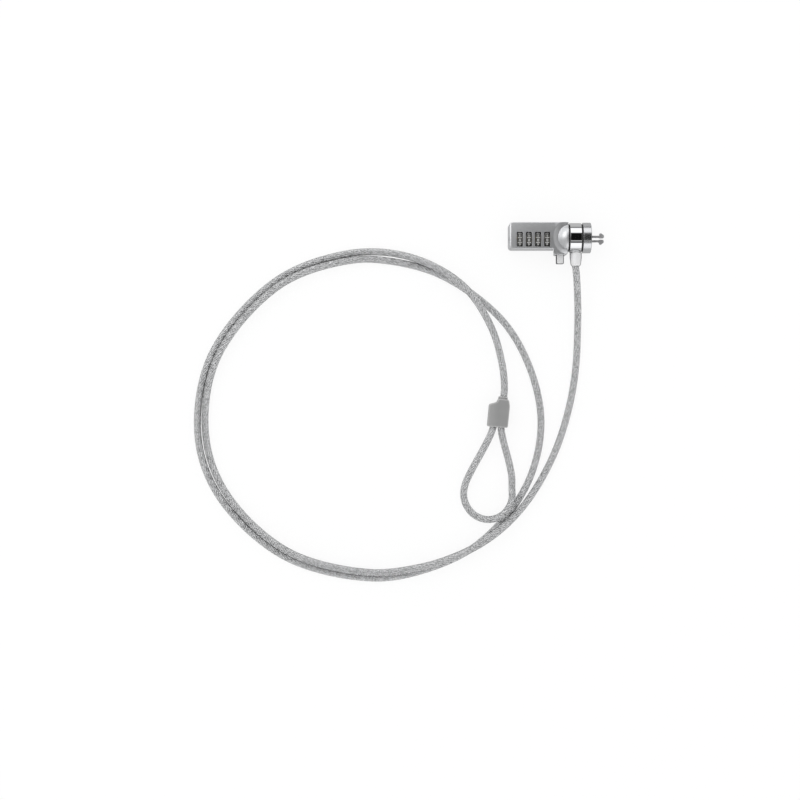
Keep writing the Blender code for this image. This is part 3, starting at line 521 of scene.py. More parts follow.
def plate(name, outline, thickness, place=None, edge=0.0, segments=3, holes=()):
    """A flat outline given thickness about its own plane, with its rims rounded by edge."""
    curve = bpy.data.curves.new(name, "CURVE")
    curve.dimensions = "2D"
    curve.fill_mode = "BOTH"
    curve.extrude = thickness / 2
    for run in (outline, *holes):
        spline = curve.splines.new("POLY")
        spline.points.add(len(run) - 1)
        for point, (u, v) in zip(spline.points, run):
            point.co = (u, v, 0.0, 1.0)
        spline.use_cyclic_u = True
    sketch = bpy.data.objects.new(name, curve)
    bpy.context.scene.collection.objects.link(sketch)
    mesh = baked_mesh(sketch)
    bpy.data.objects.remove(sketch, do_unlink=True)
    bm = bmesh.new()
    bm.from_mesh(mesh)
    bmesh.ops.remove_doubles(bm, verts=bm.verts, dist=0.0001)
    bmesh.ops.dissolve_limit(bm, angle_limit=math.radians(0.5), verts=bm.verts, edges=bm.edges)
    if edge:
        rims = [e for e in bm.edges if is_rim(e)]
        bmesh.ops.bevel(bm, geom=rims, offset=edge, segments=segments, profile=0.5, affect="EDGES")
    if place is not None:
        bmesh.ops.transform(bm, matrix=place, verts=bm.verts)
    return object_of(name, outward(bm))


def baked_mesh(obj):
    bpy.context.view_layer.update()
    graph = bpy.context.evaluated_depsgraph_get()
    return bpy.data.meshes.new_from_object(obj.evaluated_get(graph))


def bake(obj):
    """The object with its modifiers applied."""
    mesh = baked_mesh(obj)
    obj.modifiers.clear()
    obj.data = mesh
    return obj


def combine(obj, operation, others, keep=False):
    """A Boolean of the object with each of the others, which are removed unless kept."""
    for other in others:
        modifier = obj.modifiers.new("boolean", "BOOLEAN")
        modifier.operation = operation
        modifier.solver = "MANIFOLD"
        modifier.object = other
    bake(obj)
    if not keep:
        for other in others:
            bpy.data.objects.remove(other, do_unlink=True)
    return obj


def cut(obj, *others, keep=False):
    return combine(obj, "DIFFERENCE", others, keep)


def join(obj, *others):
    return combine(obj, "UNION", others)


def copied(obj, name):
    other = obj.copy()
    other.data = obj.data.copy()
    other.name = name
    bpy.context.scene.collection.objects.link(other)
    return other


def soften(obj, voxel, rounds):
    """The solid as an even fine mesh with its corners eased, as a casting has them."""
    remesh = obj.modifiers.new("grid", "REMESH")
    remesh.mode = "VOXEL"
    remesh.voxel_size = voxel * MM
    ease = obj.modifiers.new("ease", "SMOOTH")
    ease.factor = 0.5
    ease.iterations = rounds
    return bake(obj)


def finished(obj, material, body, slot, *nodes, angle=35.0):
    """Shading, material, body and the CAD nodes that the piece stands for. slot is not used."""
    obj.data.materials.clear()
    obj.data.materials.append(material)
    obj.data.shade_smooth()
    obj.data.set_sharp_from_angle(angle=math.radians(angle))
    even = obj.modifiers.new("even_flats", "WEIGHTED_NORMAL")
    even.keep_sharp = True
    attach(obj, body)
    if nodes:
        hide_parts(*nodes)
    return obj


# ---- Shells ----------------------------------------
CHAMBER_END = DIAL_X[-1] + DIAL_WIDTH / 2 + 0.25
RIB_WIDTH = DIAL_PITCH - DIAL_WIDTH - 0.46
RIVETS = ("case_rivet_1", "case_rivet_2", "case_rivet_3", "case_rivet_4")
BUTTON_X, BUTTON_WIDTH, BUTTON_DEPTH = 16.45, 4.7, 5.8
SLEEVE_R, CORE_R, FLANGE_R = 2.7, 6.3, 7.0
RESET_R, RESET_STEP_R, RESET_STEP_X = 1.95, 2.65, -13.35  # the reset screw's head, and the step behind it


def rounded_block(name, x, y, z, corner, rim):
    """A box with its four upright edges rounded by corner and its other edges by rim."""
    outline = soft_outline([(x[0], y[0]), (x[1], y[0]), (x[1], y[1]), (x[0], y[1])], corner, 8)
    lift = Matrix.Translation((0, 0, (z[0] + z[1]) / 2))
    return plate(name, outline, z[1] - z[0], lift, rim, 5)


WINDOW_WIDTH, WINDOW_HEIGHT = 3.5, 8.7
CROWN_FROM = Vector((5.0, -2.5))  # the face is highest here and falls away to the left and the far side
CROWN_ACROSS, CROWN_FAR, CROWN_NEAR = 0.7, 1.0, 0.1
LEFT_ROUND = 1.1  # radius of the face's left edge
BOSS_LEFT, BOSS_RIGHT = 11.75, 20.45
BOSS_LOW, BOSS_BACK = -10.5, 3.4
BOSS_LEAN = 1.3
RIM, CORNER = 0.3, 2.3  # radii of the head's rims and of its upright corners


def boss_block():
    """The housing of the button, drawn in at the back so that its left side isn't seen from above."""
    y, z = (BOSS_LOW, BODY_LOW + 2.0), (BOSS_BACK, BODY_FRONT - 0.05)
    boss = rounded_block("boss", (BOSS_LEFT, BOSS_RIGHT), y, z, 1.0, RIM)
    for vert in boss.data.vertices:
        x, _, z = vert.co / MM
        depth = (BODY_FRONT - z) / (BODY_FRONT - BOSS_BACK)
        vert.co.x += BOSS_LEAN * depth * max(0.0, 1.0 - (x - BOSS_LEFT) / 3.0) * MM
    return boss


def crown(obj):
    """Lowers the face slightly towards its edges, less and less down to the middle of the head."""
    for vert in obj.data.vertices:
        x, y, z = vert.co / MM
        share = max(0.0, (z - BARREL_Z) / (BODY_FRONT - BARREL_Z))
        left = max(0.0, CROWN_FROM.x - x) / (CROWN_FROM.x - BODY_LEFT)
        far = max(0.0, y - CROWN_FROM.y) / (BODY_HIGH - CROWN_FROM.y)
        near = max(0.0, CROWN_FROM.y - y) / (CROWN_FROM.y - BODY_LOW)
        fall = CROWN_ACROSS * left**2 + CROWN_FAR * far**2 + CROWN_NEAR * near**2
        if x > BODY_RIGHT - DOME_LENGTH:
            fall *= max(0.0, 1.0 - (x - BODY_RIGHT + DOME_LENGTH) / DOME_LENGTH)
        edge = max(0.0, LEFT_ROUND - (x - BODY_LEFT))
        fall += LEFT_ROUND - math.sqrt(max(0.0, LEFT_ROUND**2 - min(edge, 0.8 * LEFT_ROUND) ** 2))
        vert.co.z -= share * fall * MM
    return obj


def head_outside():
    past = BODY_RIGHT + 3.0
    block = rounded_block("head", (BODY_LEFT, past), (BODY_LOW, BODY_HIGH), (0.0, BODY_FRONT), CORNER, RIM)
    boss = boss_block()
    dish = ellipsoid("dish", (BODY_RIGHT, 0.0, BODY_FRONT + 3.1), (11.5, 13.5, 5.0))
    dome = ellipsoid("dome", (BODY_RIGHT, 0.0, BARREL_Z), (DOME_LENGTH, BARREL_R, BARREL_R))
    join(block, boss)
    cut(block, dish)
    join(block, dome)
    cut(block, *[window_cutter(f"window_{n}", x) for n, x in enumerate(DIAL_X)])
    soften(block, 0.2, 2)
    crown(block)
    cut(block, box("past_end", (BODY_RIGHT, BODY_RIGHT + 20.0), (-20.0, 20.0), (-20.0, 40.0)))
    return block


def window_cutter(name, x):
    outline = soft_outline(rectangle(WINDOW_WIDTH / 2, WINDOW_HEIGHT / 2), 0.55, 6)
    return plate(name, outline, 5.0, Matrix.Translation((x, DIAL_Y, BODY_FRONT - 1.5)))


def head_cavities():
    low, high = DIAL_Y - DIAL_R - RUN, DIAL_Y + DIAL_R + RUN
    ribs = [(a + b) / 2 for a, b in zip(DIAL_X, DIAL_X[1:])]
    edges = [-CHAMBER_END]
    for rib in ribs:
        edges += [rib - RIB_WIDTH / 2, rib + RIB_WIDTH / 2]
    edges.append(CHAMBER_END)
    rooms = []
    for left, right in zip(edges[::2], edges[1::2]):
        rooms.append(box("room", (left, right), (low, high), (1.5, BODY_FRONT - 1.5)))
    journals = (-CHAMBER_END - 1.35, CHAMBER_END + 0.6)
    middle = sum(journals) / 2
    button = (BUTTON_X - BUTTON_WIDTH / 2 - RUN, BUTTON_X + BUTTON_WIDTH / 2 + RUN)
    half_depth = BUTTON_DEPTH / 2 + RUN
    rooms += [
        cylinder("room", "X", (middle, DIAL_Y, DIAL_Z), SLEEVE_R + RUN, journals[1] - journals[0]),
        cylinder("room", "X", (1.0, DIAL_Y, DIAL_Z), 1.75, 27.0),
        box("room", (CHAMBER_END + 1.2, 18.3), (-5.6, 4.2), (5.2, 13.7)),
        box("room", (12.75, 17.55), (-7.3, -5.3), (BARREL_Z - 1.2, BARREL_Z + 1.2)),
        box("room", button, (-11.5, -7.1), (BARREL_Z - half_depth, BARREL_Z + half_depth)),
        box("room", button, (-10.0, -7.1), (BARREL_Z - 3.65, BARREL_Z + 3.65)),
        cylinder("room", "X", (18.85, 0, BARREL_Z), FLANGE_R + RUN, 1.3),
        cylinder("room", "X", (20.5, 0, BARREL_Z), CORE_R + RUN, 3.0),
        cylinder("room", "X", (-14.2, DIAL_Y, DIAL_Z), RESET_R + RUN, 2.2),
        cylinder("room", "X", (-12.85, DIAL_Y, DIAL_Z), SLEEVE_R + RUN, 1.3),
        box("room", (-9.8, 9.8), (1.6, 3.2), (1.5, 2.5)),
    ]
    for node in RIVETS:
        x, y, _ = mm_middle(node)
        rooms.append(cylinder("room", "Z", (x, y, 5.0), 0.92, 16.0, 32))
        rooms.append(cylinder("room", "Z", (x, y, 0.0), 1.42, 1.6, 48))
    return rooms


def make_shells(paint):
    outside = head_outside()
    far = 60.0
    cavities = head_cavities()
    front = outside
    back = copied(outside, "back_case")
    front.name = "front_case"
    cut(front, box("half", (-far, far), (-far, far), (-far, SPLIT_Z + SEAM / 2)), *cavities, keep=True)
    cut(back, box("half", (-far, far), (-far, far), (SPLIT_Z - SEAM / 2, far)), *cavities, keep=True)
    for obj in list(bpy.data.objects):
        if obj.name.startswith(("room", "half")):
            bpy.data.objects.remove(obj, do_unlink=True)
    finished(front, paint, "lock_head", "satin_silver", "front_shell", angle=38.0)
    finished(back, paint, "lock_head", "satin_silver", "back_shell", angle=38.0)


def make_rivets(metal):
    for number, node in enumerate(RIVETS, 1):
        low, high = mm_box(node)
        x, y, _ = mm_middle(node)
        head_r, top = (high.x - low.x) / 2, high.z
        profile = [(0.06, 0.0), (0.06, 0.8), (0.12, head_r - 0.2), (0.3, head_r), (0.7, head_r), (0.7, 0.8)]
        profile += [(top - 0.2, 0.8), (top, 0.6), (top, 0.0)]
        rivet = turned(f"rivet_{number}", "Z", (x, y, 0), profile, 48)
        finished(rivet, metal, "lock_head", "steel", node)


# ---- Dials ----------------------------------------
DIGIT_HEIGHT = 1.65
DIGIT_RELIEF = 0.07


def digit_mesh(digit):
    """A digit as a thin block about its own middle, cut across so that it can follow the dial."""
    curve = bpy.data.curves.new("digit", "FONT")
    curve.body = str(digit)
    curve.size = DIGIT_HEIGHT * 1.4
    curve.extrude = DIGIT_RELIEF
    curve.resolution_u = 3
    text = bpy.data.objects.new("digit", curve)
    bpy.context.scene.collection.objects.link(text)
    mesh = baked_mesh(text)
    bpy.data.objects.remove(text, do_unlink=True)
    bm = bmesh.new()
    bm.from_mesh(mesh)
    bmesh.ops.remove_doubles(bm, verts=bm.verts, dist=0.0001)
    xs = [v.co.x for v in bm.verts]
    ys = [v.co.y for v in bm.verts]
    middle = Vector(((min(xs) + max(xs)) / 2, (min(ys) + max(ys)) / 2, 0))
    bmesh.ops.translate(bm, vec=-middle, verts=bm.verts)
    slices = 9
    for i in range(1, slices):
        level = (i / slices - 0.5) * (max(ys) - min(ys))
        geometry = bm.verts[:] + bm.edges[:] + bm.faces[:]
        bmesh.ops.bisect_plane(bm, geom=geometry, plane_co=(0, level, 0), plane_no=(0, 1, 0))
    return bm


PRINT_TURN = -7.5  # the dials stand a little short of their detents, as worn ones do
RIDGE_TURN = PRINT_TURN + 18.0
RIDGE_HALF, RIDGE_RISE = 0.09, 0.06


def ridge(ring, centre, angle):
    """A finger ridge straight across a dial, coloured pale like the digits as a painted highlight along it.
    """
    made = bmesh.ops.create_cube(ring, size=1.0)["verts"]
    for vert in made:
        u, v, w = vert.co
        across = (DIAL_WIDTH - 0.7) * u
        turn = angle + 2 * RIDGE_HALF * v / DIAL_R
        radius = DIAL_R + (RIDGE_RISE if w > 0 else -0.1)
        vert.co = centre + Vector((across, radius * math.sin(turn), radius * math.cos(turn)))


def make_dials(black, white):
    half = DIAL_WIDTH / 2
    bore = SLEEVE_R + 0.1
    side = [(-half, bore), (-half, DIAL_R - 0.2), (-half + 0.2, DIAL_R)]
    profile = side + [(-along, radius) for along, radius in reversed(side)]
    for number, x in enumerate(DIAL_X, 1):
        centre = Vector((x, DIAL_Y, DIAL_Z))
        dial = turned(f"number_ring_{number}", "X", centre, profile, 120)
        grooves = []
        for step in range(10):
            angle = math.radians(36 * (step + 0.5))
            across = Vector((0, math.cos(angle), math.sin(angle))) * DIAL_R
            grooves.append(cylinder("room", "X", centre + across, 0.3, 2 * DIAL_WIDTH, 16))
        cut(dial, *grooves)
        finished(dial, black, f"dial_unit_{number}", "black_plastic", f"dial_{number}")
        ring = bmesh.new()
        for digit in range(10):
            bm = digit_mesh(digit)
            for vert in bm.verts:
                u, v, w = vert.co
                angle = v / DIAL_R + math.radians(36 * digit + PRINT_TURN)
                radius = DIAL_R + w
                vert.co = centre + Vector((u, radius * math.sin(angle), radius * math.cos(angle)))
            scratch = bpy.data.meshes.new("scratch")
            bm.to_mesh(scratch)
            bm.free()
            ring.from_mesh(scratch)
            bpy.data.meshes.remove(scratch)
            # Painted highlight: a pale ridge across the dial between the digits.
            ridge(ring, centre, math.radians(36 * digit + RIDGE_TURN))
        digits = object_of(f"digits_{number}", ring)
        finished(digits, white, f"dial_unit_{number}", "black_plastic")


# ---- Button, hooks, barrel ----------------------------------------
def make_button(metal):
    """The pressed head tapers a little towards its tip. Its flange and stem follow the CAD's."""
    low, high = mm_box("push_button")
    half_w, half_d = BUTTON_WIDTH / 2, BUTTON_DEPTH / 2
    outline = soft_outline(rectangle(half_w, half_d), 1.2, 8)
    levels = ((-9.3, 1.0), (-15.0, 0.965), (-15.35, 0.95), (-15.56, 0.91), (low.y, 0.84))
    bm = bmesh.new()
    rings = []
    for y, scale in levels:
        rings.append([bm.verts.new((BUTTON_X + u * scale, y, BARREL_Z + v * scale)) for u, v in outline])
    count = len(outline)
    for first, second in zip(rings, rings[1:]):
        for i in range(count):
            j = (i + 1) % count
            bm.faces.new((first[i], first[j], second[j], second[i]))
    bm.faces.new(rings[0])
    bm.faces.new(rings[-1])
    head = object_of("button", outward(bm))
    across = (BUTTON_X - half_w + 0.1, BUTTON_X + half_w - 0.1)
    flange = box("room", across, (-9.9, -9.2), (BARREL_Z - 3.5, BARREL_Z + 3.5))
    stem_outline = [
        (17.4, -9.6),
        (17.4, high.y),
        (15.0, high.y),
        (15.0, -2.65),
        (13.0, -4.65),
        (13.0, -6.3),
        (14.0, -7.4),
        (15.0, -9.6),
    ]
    stem = plate("room", stem_outline, 2.0, Matrix.Translation((0, 0, BARREL_Z)))
    join(head, flange, stem)
    finished(head, metal, "button", "chrome", "push_button")


def arc(centre, radius, start, end, steps):
    angles = [math.radians(start + (end - start) * i / steps) for i in range(steps + 1)]
    return [(centre[0] + radius * math.cos(a), centre[1] + radius * math.sin(a)) for a in angles]


HOOK_Y, PIVOT_X = -0.3, 26.5


def make_hooks(metal):
    """Two stamped plates that cross at the pivot, with flat-backed teeth and eased corners."""
    lean = -0.35  # both jaws sit a little to the button's side of the pivot
    outline = [
        (21.8, -2.15),
        (21.8, -0.95),
        (24.6, -0.9),
        *arc((PIVOT_X, 0.0), 2.0, 205, 140, 10)[1:-1],
        (PIVOT_X - 1.1, 2.0),
        (PIVOT_X + 4.0, 2.0),
        (39.6, 1.9),
        (40.2, 2.15),
        (40.2, 3.05),
        (40.5, 3.35),
        (41.3, 3.4),
        (42.8, 2.3),
        (43.0, 1.7),
        (42.9, 0.75),
        (42.4, 0.35),
        (40.8, 0.3),
        (39.6, 0.6),
        (PIVOT_X + 4.0, 0.75),
        *arc((PIVOT_X, 0.0), 2.0, 0, -90, 10),
        (24.6, -2.15),
    ]
    hole = arc((PIVOT_X, 0.0), 0.85, 0, 352.5, 47)
    for name, node, body, side in (
        ("hook_plate_upper", "upper_hook", "hook_upper", 1),
        ("hook_plate_lower", "lower_hook", "hook_lower", -1),
    ):
        jaw = [(x, side * y + (lean if x > PIVOT_X + 3.0 else 0.0)) for x, y in outline]
        shape = soft_outline(jaw, 0.3, 4)
        low, high = mm_box(node)
        place = Matrix.Translation((0, HOOK_Y, (low.z + high.z) / 2))
        hook = plate(name, shape, high.z - low.z, place, 0.12, 2, [hole])
        finished(hook, metal, body, "steel", node)


def make_barrel(cap_metal, black):
    middle = (0, 0, BARREL_Z)
    inside = NOSE - 1.5 + 0.12
    bore = CORE_R + RUN
    near = soft_profile([(cap_low.x, bore), (cap_low.x, BARREL_R), (NOSE - 1.0, BARREL_R)], 0.14, 4)[:-1]
    rim = near + soft_profile([(NOSE - 1.0, BARREL_R), (NOSE, BARREL_R), (NOSE, 0.0)], 0.5, 6)
    cap = turned("end_cap", "X", middle, [(inside, 0.0), (inside, bore), *rim], 160)
    facing = AXIS_TURNS["X"] @ Matrix.Rotation(math.pi / 2, 4, "Z")
    place = Matrix.Translation((NOSE - 1.0, HOOK_Y, BARREL_Z)) @ facing
    slot = plate("room", soft_outline(rectangle(2.45, 1.6), 0.4, 4), 6.0, place)
    pin_way = cylinder("room", "Z", (32.4, 0, 2.0), 0.75, 6.0, 32)
    cut(cap, slot, pin_way)
    finished(cap, cap_metal, "lock_head", "satin_silver", "nose_cap")
    # The seals' black is partly their own colour and partly painted shade for the gaps either side of the
    # ring.
    for name, node in (("ring_seal_inner", "inner_washer"), ("ring_seal_outer", "outer_washer")):
        low, high = mm_box(node)
        outer = (high.z - low.z) / 2
        run = soft_profile([(low.x, bore), (low.x, outer), (high.x, outer), (high.x, bore)], 0.15, 3)
        seal = turned(name, "X", middle, run, 128)
        finished(seal, black, "lock_head", "black_plastic", node)


def make_collar(metal, matte):
    low, high = ring_low, ring_high
    radius = (high.z - low.z) / 2
    bore = CORE_R + RUN
    middle = (0, 0, BARREL_Z)
    run = soft_profile([(low.x, bore), (low.x, radius), (high.x, radius), (high.x, bore)], 0.14, 4)
    ring = turned("collar_ring", "X", middle, run, 192)
    end = low.y
    mouth = ((0.0, 0.0), (0.0, 2.55), (0.15, 2.72), (0.6, 2.95), (1.4, 3.16), (2.2, 3.26), (3.2, 3.38))
    profile = [(end + along, radius) for along, radius in mouth]
    profile += [(end + 5.0, TONGUE_R), (-9.2, TONGUE_R), (-8.9, 3.3), (-8.2, 2.9), (-7.0, 2.9), (-7.0, 0.0)]
    tongue = turned("room", "Y", (TONGUE_MIDDLE, 0, BARREL_Z), profile, 96)
    bore_low, bore_top = end - 1.0, -8.45
    bore_middle = (TONGUE_MIDDLE, (bore_low + bore_top) / 2, BARREL_Z)
    cable_way = cylinder("room", "Y", bore_middle, 2.35, bore_top - bore_low)
    pin_way = cylinder("room", "X", (TONGUE_X, -10.2, BARREL_Z), 0.72, 12.0, 48)
    join(ring, tongue)
    cut(ring, cable_way, pin_way)
    finished(ring, metal, "cable_set", "chrome", "swivel_collar")
    ring.data.materials.append(matte)
    for face in ring.data.polygons:
        across, up = face.center.y / MM, face.center.z / MM - BARREL_Z
        if math.hypot(across, up) > radius + 0.01:
            face.material_index = 1
    low, high = mm_box("ferrule_pin")
    run = soft_profile([(low.x, 0.0), (low.x, 0.6), (high.x, 0.6), (high.x, 0.0)], 0.15, 3)
    pin = turned("collar_pin", "X", (0, -10.2, BARREL_Z), run, 48)
    finished(pin, metal, "cable_set", "steel", "ferrule_pin")


def make_reset_screw(metal):
    low, high = mm_box("reset_screw")
    left, right = low.x, high.x
    rim = soft_profile([(left, 0.0), (left, RESET_R), (RESET_STEP_X, RESET_R)], 0.2, 4)
    profile = rim + [(RESET_STEP_X, RESET_STEP_R), (right, RESET_STEP_R), (right, 0.0)]
    screw = turned("code_screw", "X", (0, DIAL_Y, DIAL_Z), profile, 96)
    cut(screw, box("room", (left - 1, left + 0.6), (DIAL_Y - 0.3, DIAL_Y + 0.3), (DIAL_Z - 3, DIAL_Z + 3)))
    finished(screw, metal, "reset", "steel", "reset_screw")


# ---- Cable ----------------------------------------
CABLE_R = 2.15
ROPE_R = 1.46
STRANDS = 6
LAY_LENGTH = 17.0
WIRES = 5
WIRE_LAY = 5.5
JACKET_START, ROPE_START = -15.0, -11.6
COIL_X, COIL_Y = -99.6, -105.1
# The lay of the cable round the coil's centre: winding angle in degrees, radius, and height of its middle.
LAY = (
    (22.0, 137.5, 3.2), (12.0, 129.2, 2.4), (2.0, 122.8, 2.3), (-10.0, 117.1, 2.3),
    (-22.0, 112.9, 2.5), (-32.0, 110.2, 4.0), (-41.0, 107.6, 6.2), (-50.0, 104.9, 6.9),
    (-60.0, 101.9, 6.9), (-72.0, 99.2, 6.4), (-90.0, 97.3, 5.2), (-120.0, 97.6, 4.6),
    (-150.0, 99.4, 2.6), (-172.0, 99.7, 2.3), (-200.0, 97.2, 3.9), (-235.0, 93.7, 5.0),
    (-262.0, 92.6, 3.6), (-278.0, 92.7, 2.3), (-300.0, 94.4, 2.3), (-330.0, 99.7, 2.3),
    (-360.0, 105.0, 2.3), (-384.0, 106.3, 2.3), (-410.0, 104.6, 2.3), (-432.0, 101.9, 2.3),
    (-450.0, 100.9, 2.3), (-480.0, 101.5, 2.3), (-510.0, 104.0, 2.3), (-532.0, 104.4, 2.3),
    (-560.0, 101.3, 2.3), (-595.0, 97.4, 2.3), (-622.0, 97.0, 2.3), (-640.0, 97.6, 2.9),
    (-656.0, 96.9, 5.6), (-670.0, 95.2, 6.9), (-686.0, 90.6, 6.2), (-700.0, 86.6, 4.6),
)
COVER_X, COVER_Y = -20.4, -105.9
COVER_TILT = math.radians(4.5)
COVER_THICKNESS = cover_high.z - cover_low.z
STRAND_OFFSET = 2.5
LOOP_X, LOOP_Y, LOOP_R = -26.6, -154.6, 14.8
LOOP_LONG = 1.07  # its length along the cable over its width
LOOP_SHOULDER = ((-13.5, -137.5, 4.1), (-12.2, -144.8, 3.9))
LOOP_HEIGHTS = (3.8, 5.6, 6.3, 5.5, 3.4, 2.3, 2.3, 2.4, 3.0)


def cover_point(u, v):
    """A place across and along the loop's cover, at half its height."""
    across = Vector((math.cos(COVER_TILT), -math.sin(COVER_TILT)))
    along = Vector((math.sin(COVER_TILT), math.cos(COVER_TILT)))
    place = Vector((COVER_X, COVER_Y)) + across * u + along * v
    return Vector((place.x, place.y, COVER_THICKNESS / 2))


def cable_knots():
    knots = [
        Vector((TONGUE_X + 0.1, JACKET_START, BARREL_Z)),
        Vector((TONGUE_X + 1.1, -24.0, BARREL_Z - 0.6)),
        Vector((TONGUE_X + 2.1, -42.0, BARREL_Z - 3.4)),
    ]
    for angle, radius, height in LAY:
        turn = math.radians(angle)
        knots.append(Vector((COIL_X + radius * math.cos(turn), COIL_Y + radius * math.sin(turn), height)))
    knots += [cover_point(STRAND_OFFSET, v) for v in (16.0, 9.5, 0.0, -9.5)]
    knots += [Vector(knot) for knot in LOOP_SHOULDER]
    sweep = arc((0.0, 0.0), LOOP_R, 12, -202, 8)
    for (x, y), height in zip(sweep, LOOP_HEIGHTS):
        knots.append(Vector((LOOP_X + x, LOOP_Y + LOOP_LONG * y, height)))
    knots += [cover_point(-STRAND_OFFSET - 0.1, v) for v in (-9.5, 0.0, 4.4)]
    return knots


def smooth_run(knots, step):
    """Points about step apart on a smooth curve through the knots (centripetal Catmull-Rom)."""
    ends = [2 * knots[0] - knots[1], *knots, 2 * knots[-1] - knots[-2]]
    fine = []
    for p0, p1, p2, p3 in zip(ends, ends[1:], ends[2:], ends[3:]):
        t1 = (p1 - p0).length ** 0.5
        t2 = t1 + (p2 - p1).length ** 0.5
        t3 = t2 + (p3 - p2).length ** 0.5
        for share in range(40):
            t = t1 + (t2 - t1) * share / 40
            a1 = p0.lerp(p1, t / t1)
            a2 = p1.lerp(p2, (t - t1) / (t2 - t1))
            a3 = p2.lerp(p3, (t - t2) / (t3 - t2))
            b1 = a1.lerp(a2, t / t2)
            b2 = a2.lerp(a3, (t - t1) / (t3 - t1))
            fine.append(b1.lerp(b2, (t - t1) / (t2 - t1)))
    fine.append(knots[-1])
    fine = np.array([tuple(p) for p in fine])
    walked = np.concatenate([[0.0], np.cumsum(np.linalg.norm(np.diff(fine, axis=0), axis=1))])
    stations = np.linspace(0.0, walked[-1], int(walked[-1] / step) + 1)
    points = np.stack([np.interp(stations, walked, fine[:, i]) for i in range(3)], axis=1)
    return points, stations


def frames_along(points):
    """Unit tangents and two normals that don't twist, at each point of a run."""
    tangents = np.gradient(points, axis=0)
    tangents /= np.linalg.norm(tangents, axis=1)[:, None]
    normals = np.zeros_like(points)
    normal = np.array([0.0, 0.0, 1.0])
    for i, tangent in enumerate(tangents):
        normal = normal - tangent * (normal @ tangent)
        normal /= np.linalg.norm(normal)
        normals[i] = normal
    return tangents, normals, np.cross(tangents, normals)


def tube(name, points, radius, sides, stations):
    """A closed round tube along a run of points. Its map holds the distance along and the share of a turn."""
    tangents, first, second = frames_along(points)
    angles = np.arange(sides) * 2 * math.pi / sides
    circle = first[:, None] * np.cos(angles)[None, :, None] + second[:, None] * np.sin(angles)[None, :, None]
    verts = (points[:, None] + radius * circle).reshape(-1, 3) * MM
    count = len(points)
    faces = []
    places = []
    for i in range(count - 1):
        base, above = i * sides, (i + 1) * sides
        for j in range(sides):
            k = (j + 1) % sides
            faces.append((base + j, base + k, above + k, above + j))
            here, there = j / sides, (j + 1) / sides
            places += [
                (stations[i], here),
                (stations[i], there),
                (stations[i + 1], there),
                (stations[i + 1], here),
            ]
    last = (count - 1) * sides
    faces.append(tuple(reversed(range(sides))))
    faces.append(tuple(last + j for j in range(sides)))
    places += [(stations[0], 0.0)] * sides + [(stations[-1], 0.0)] * sides
    mesh = bpy.data.meshes.new(name)
    mesh.from_pydata(verts.tolist(), [], faces)
    layer = mesh.uv_layers.new(name="lay")
    layer.data.foreach_set("uv", np.array(places, np.float32).ravel())
    bm = bmesh.new()
    bm.from_mesh(mesh)
    if bm.calc_volume(signed=True) < 0:
        bmesh.ops.reverse_faces(bm, faces=bm.faces)
        bm.to_mesh(mesh)
    bm.free()
    obj = bpy.data.objects.new(name, mesh)
    bpy.context.scene.collection.objects.link(obj)
    return obj


def make_cable(wire_metal, cover):
    path, stations = smooth_run(cable_knots(), 1.1)
    jacket = tube("clear_cover", path, CABLE_R, 24, stations)
    finished(jacket, cover, "cable_set", "clear_pvc", "cable_jacket")
    lead = np.linspace([TONGUE_X, ROPE_START, BARREL_Z], path[0], 5)[:-1]
    rope = np.concatenate([lead, path])
    steps = np.linalg.norm(np.diff(rope, axis=0), axis=1)
    stations = np.concatenate([[0.0], np.cumsum(steps)])
    strand_r = ROPE_R / 3.0
    ring_r = ROPE_R - strand_r
    tangents, first, second = frames_along(rope)
    strands = []
    for number in range(STRANDS):
        turn = 2 * math.pi * (stations / LAY_LENGTH + number / STRANDS)
        offset = first * np.cos(turn)[:, None] + second * np.sin(turn)[:, None]
        strand = tube(f"rope_strand_{number + 1}", rope + ring_r * offset, strand_r * 0.985, 10, stations)
        strands.append(strand)
    strands.append(tube("rope_core", rope, strand_r * 0.985, 8, stations))
    for strand in strands:
        finished(strand, wire_metal, "cable_set", "steel")
    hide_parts("wire_rope")


PILLOW = 1.3  # how much lower the cover's upper face is at its left edge
COVER_OUTLINE = (
    (-6.2, -8.4), (6.2, -8.4), (6.5, 4.5), (5.7, 8.6),
    (-0.8, 8.8), (-1.3, 6.8), (-6.0, 5.1),
)


def make_loop_cover(grey):
    """The soft moulding over the crimp, with a short neck where the long strand leaves it."""
    place = Matrix.Translation((COVER_X, COVER_Y, COVER_THICKNESS / 2)) @ Matrix.Rotation(-COVER_TILT, 4, "Z")
    outline = soft_outline(list(COVER_OUTLINE), 0.8, 4)
    cover = plate("loop_boot", outline, COVER_THICKNESS, place)
    neck = cylinder("room", "Y", (0, 0, 0), 2.85, 6.0, 64)
    move(neck, place @ Matrix.Translation((STRAND_OFFSET - 0.4, 7.4, 0)))
    join(cover, neck)
    soften(cover, 0.22, 22)
    pillow(cover, place)
    strands = soft_outline(rectangle(4.8, 2.35), 1.6, 6)
    way = plate("room", strands, 19.2, place @ Matrix.Translation((0, -4.4, 0)) @ AXIS_TURNS["Y"])
    main_way = cylinder("room", "Y", (0, 0, 0), 2.4, 30.0, 48)
    move(main_way, place @ Matrix.Translation((STRAND_OFFSET, 6.0, 0)))
    room = box("room", (-5.42, 5.42), (-5.72, 2.92), (-2.97, 2.97))
    move(room, place)
    cut(cover, way, main_way, room)
    finished(cover, grey, "cable_set", "grey_pvc", "loop_cover", angle=40.0)


def pillow(cover, place):
    """Lowers the moulding's upper face towards its left edge."""
    back = place.inverted()
    for vert in cover.data.vertices:
        across, _, up = back @ (vert.co / MM)
        left = max(0.0, -0.5 - across) / 5.7
        vert.co.z -= max(0.0, up) / (COVER_THICKNESS / 2) * PILLOW * left**2 * MM


def move(obj, matrix):
    """Moves a finished mesh, which is in metres, by a placement in millimetres."""
    in_metres = matrix.copy()
    in_metres.translation = matrix.translation * MM
    obj.data.transform(in_metres)


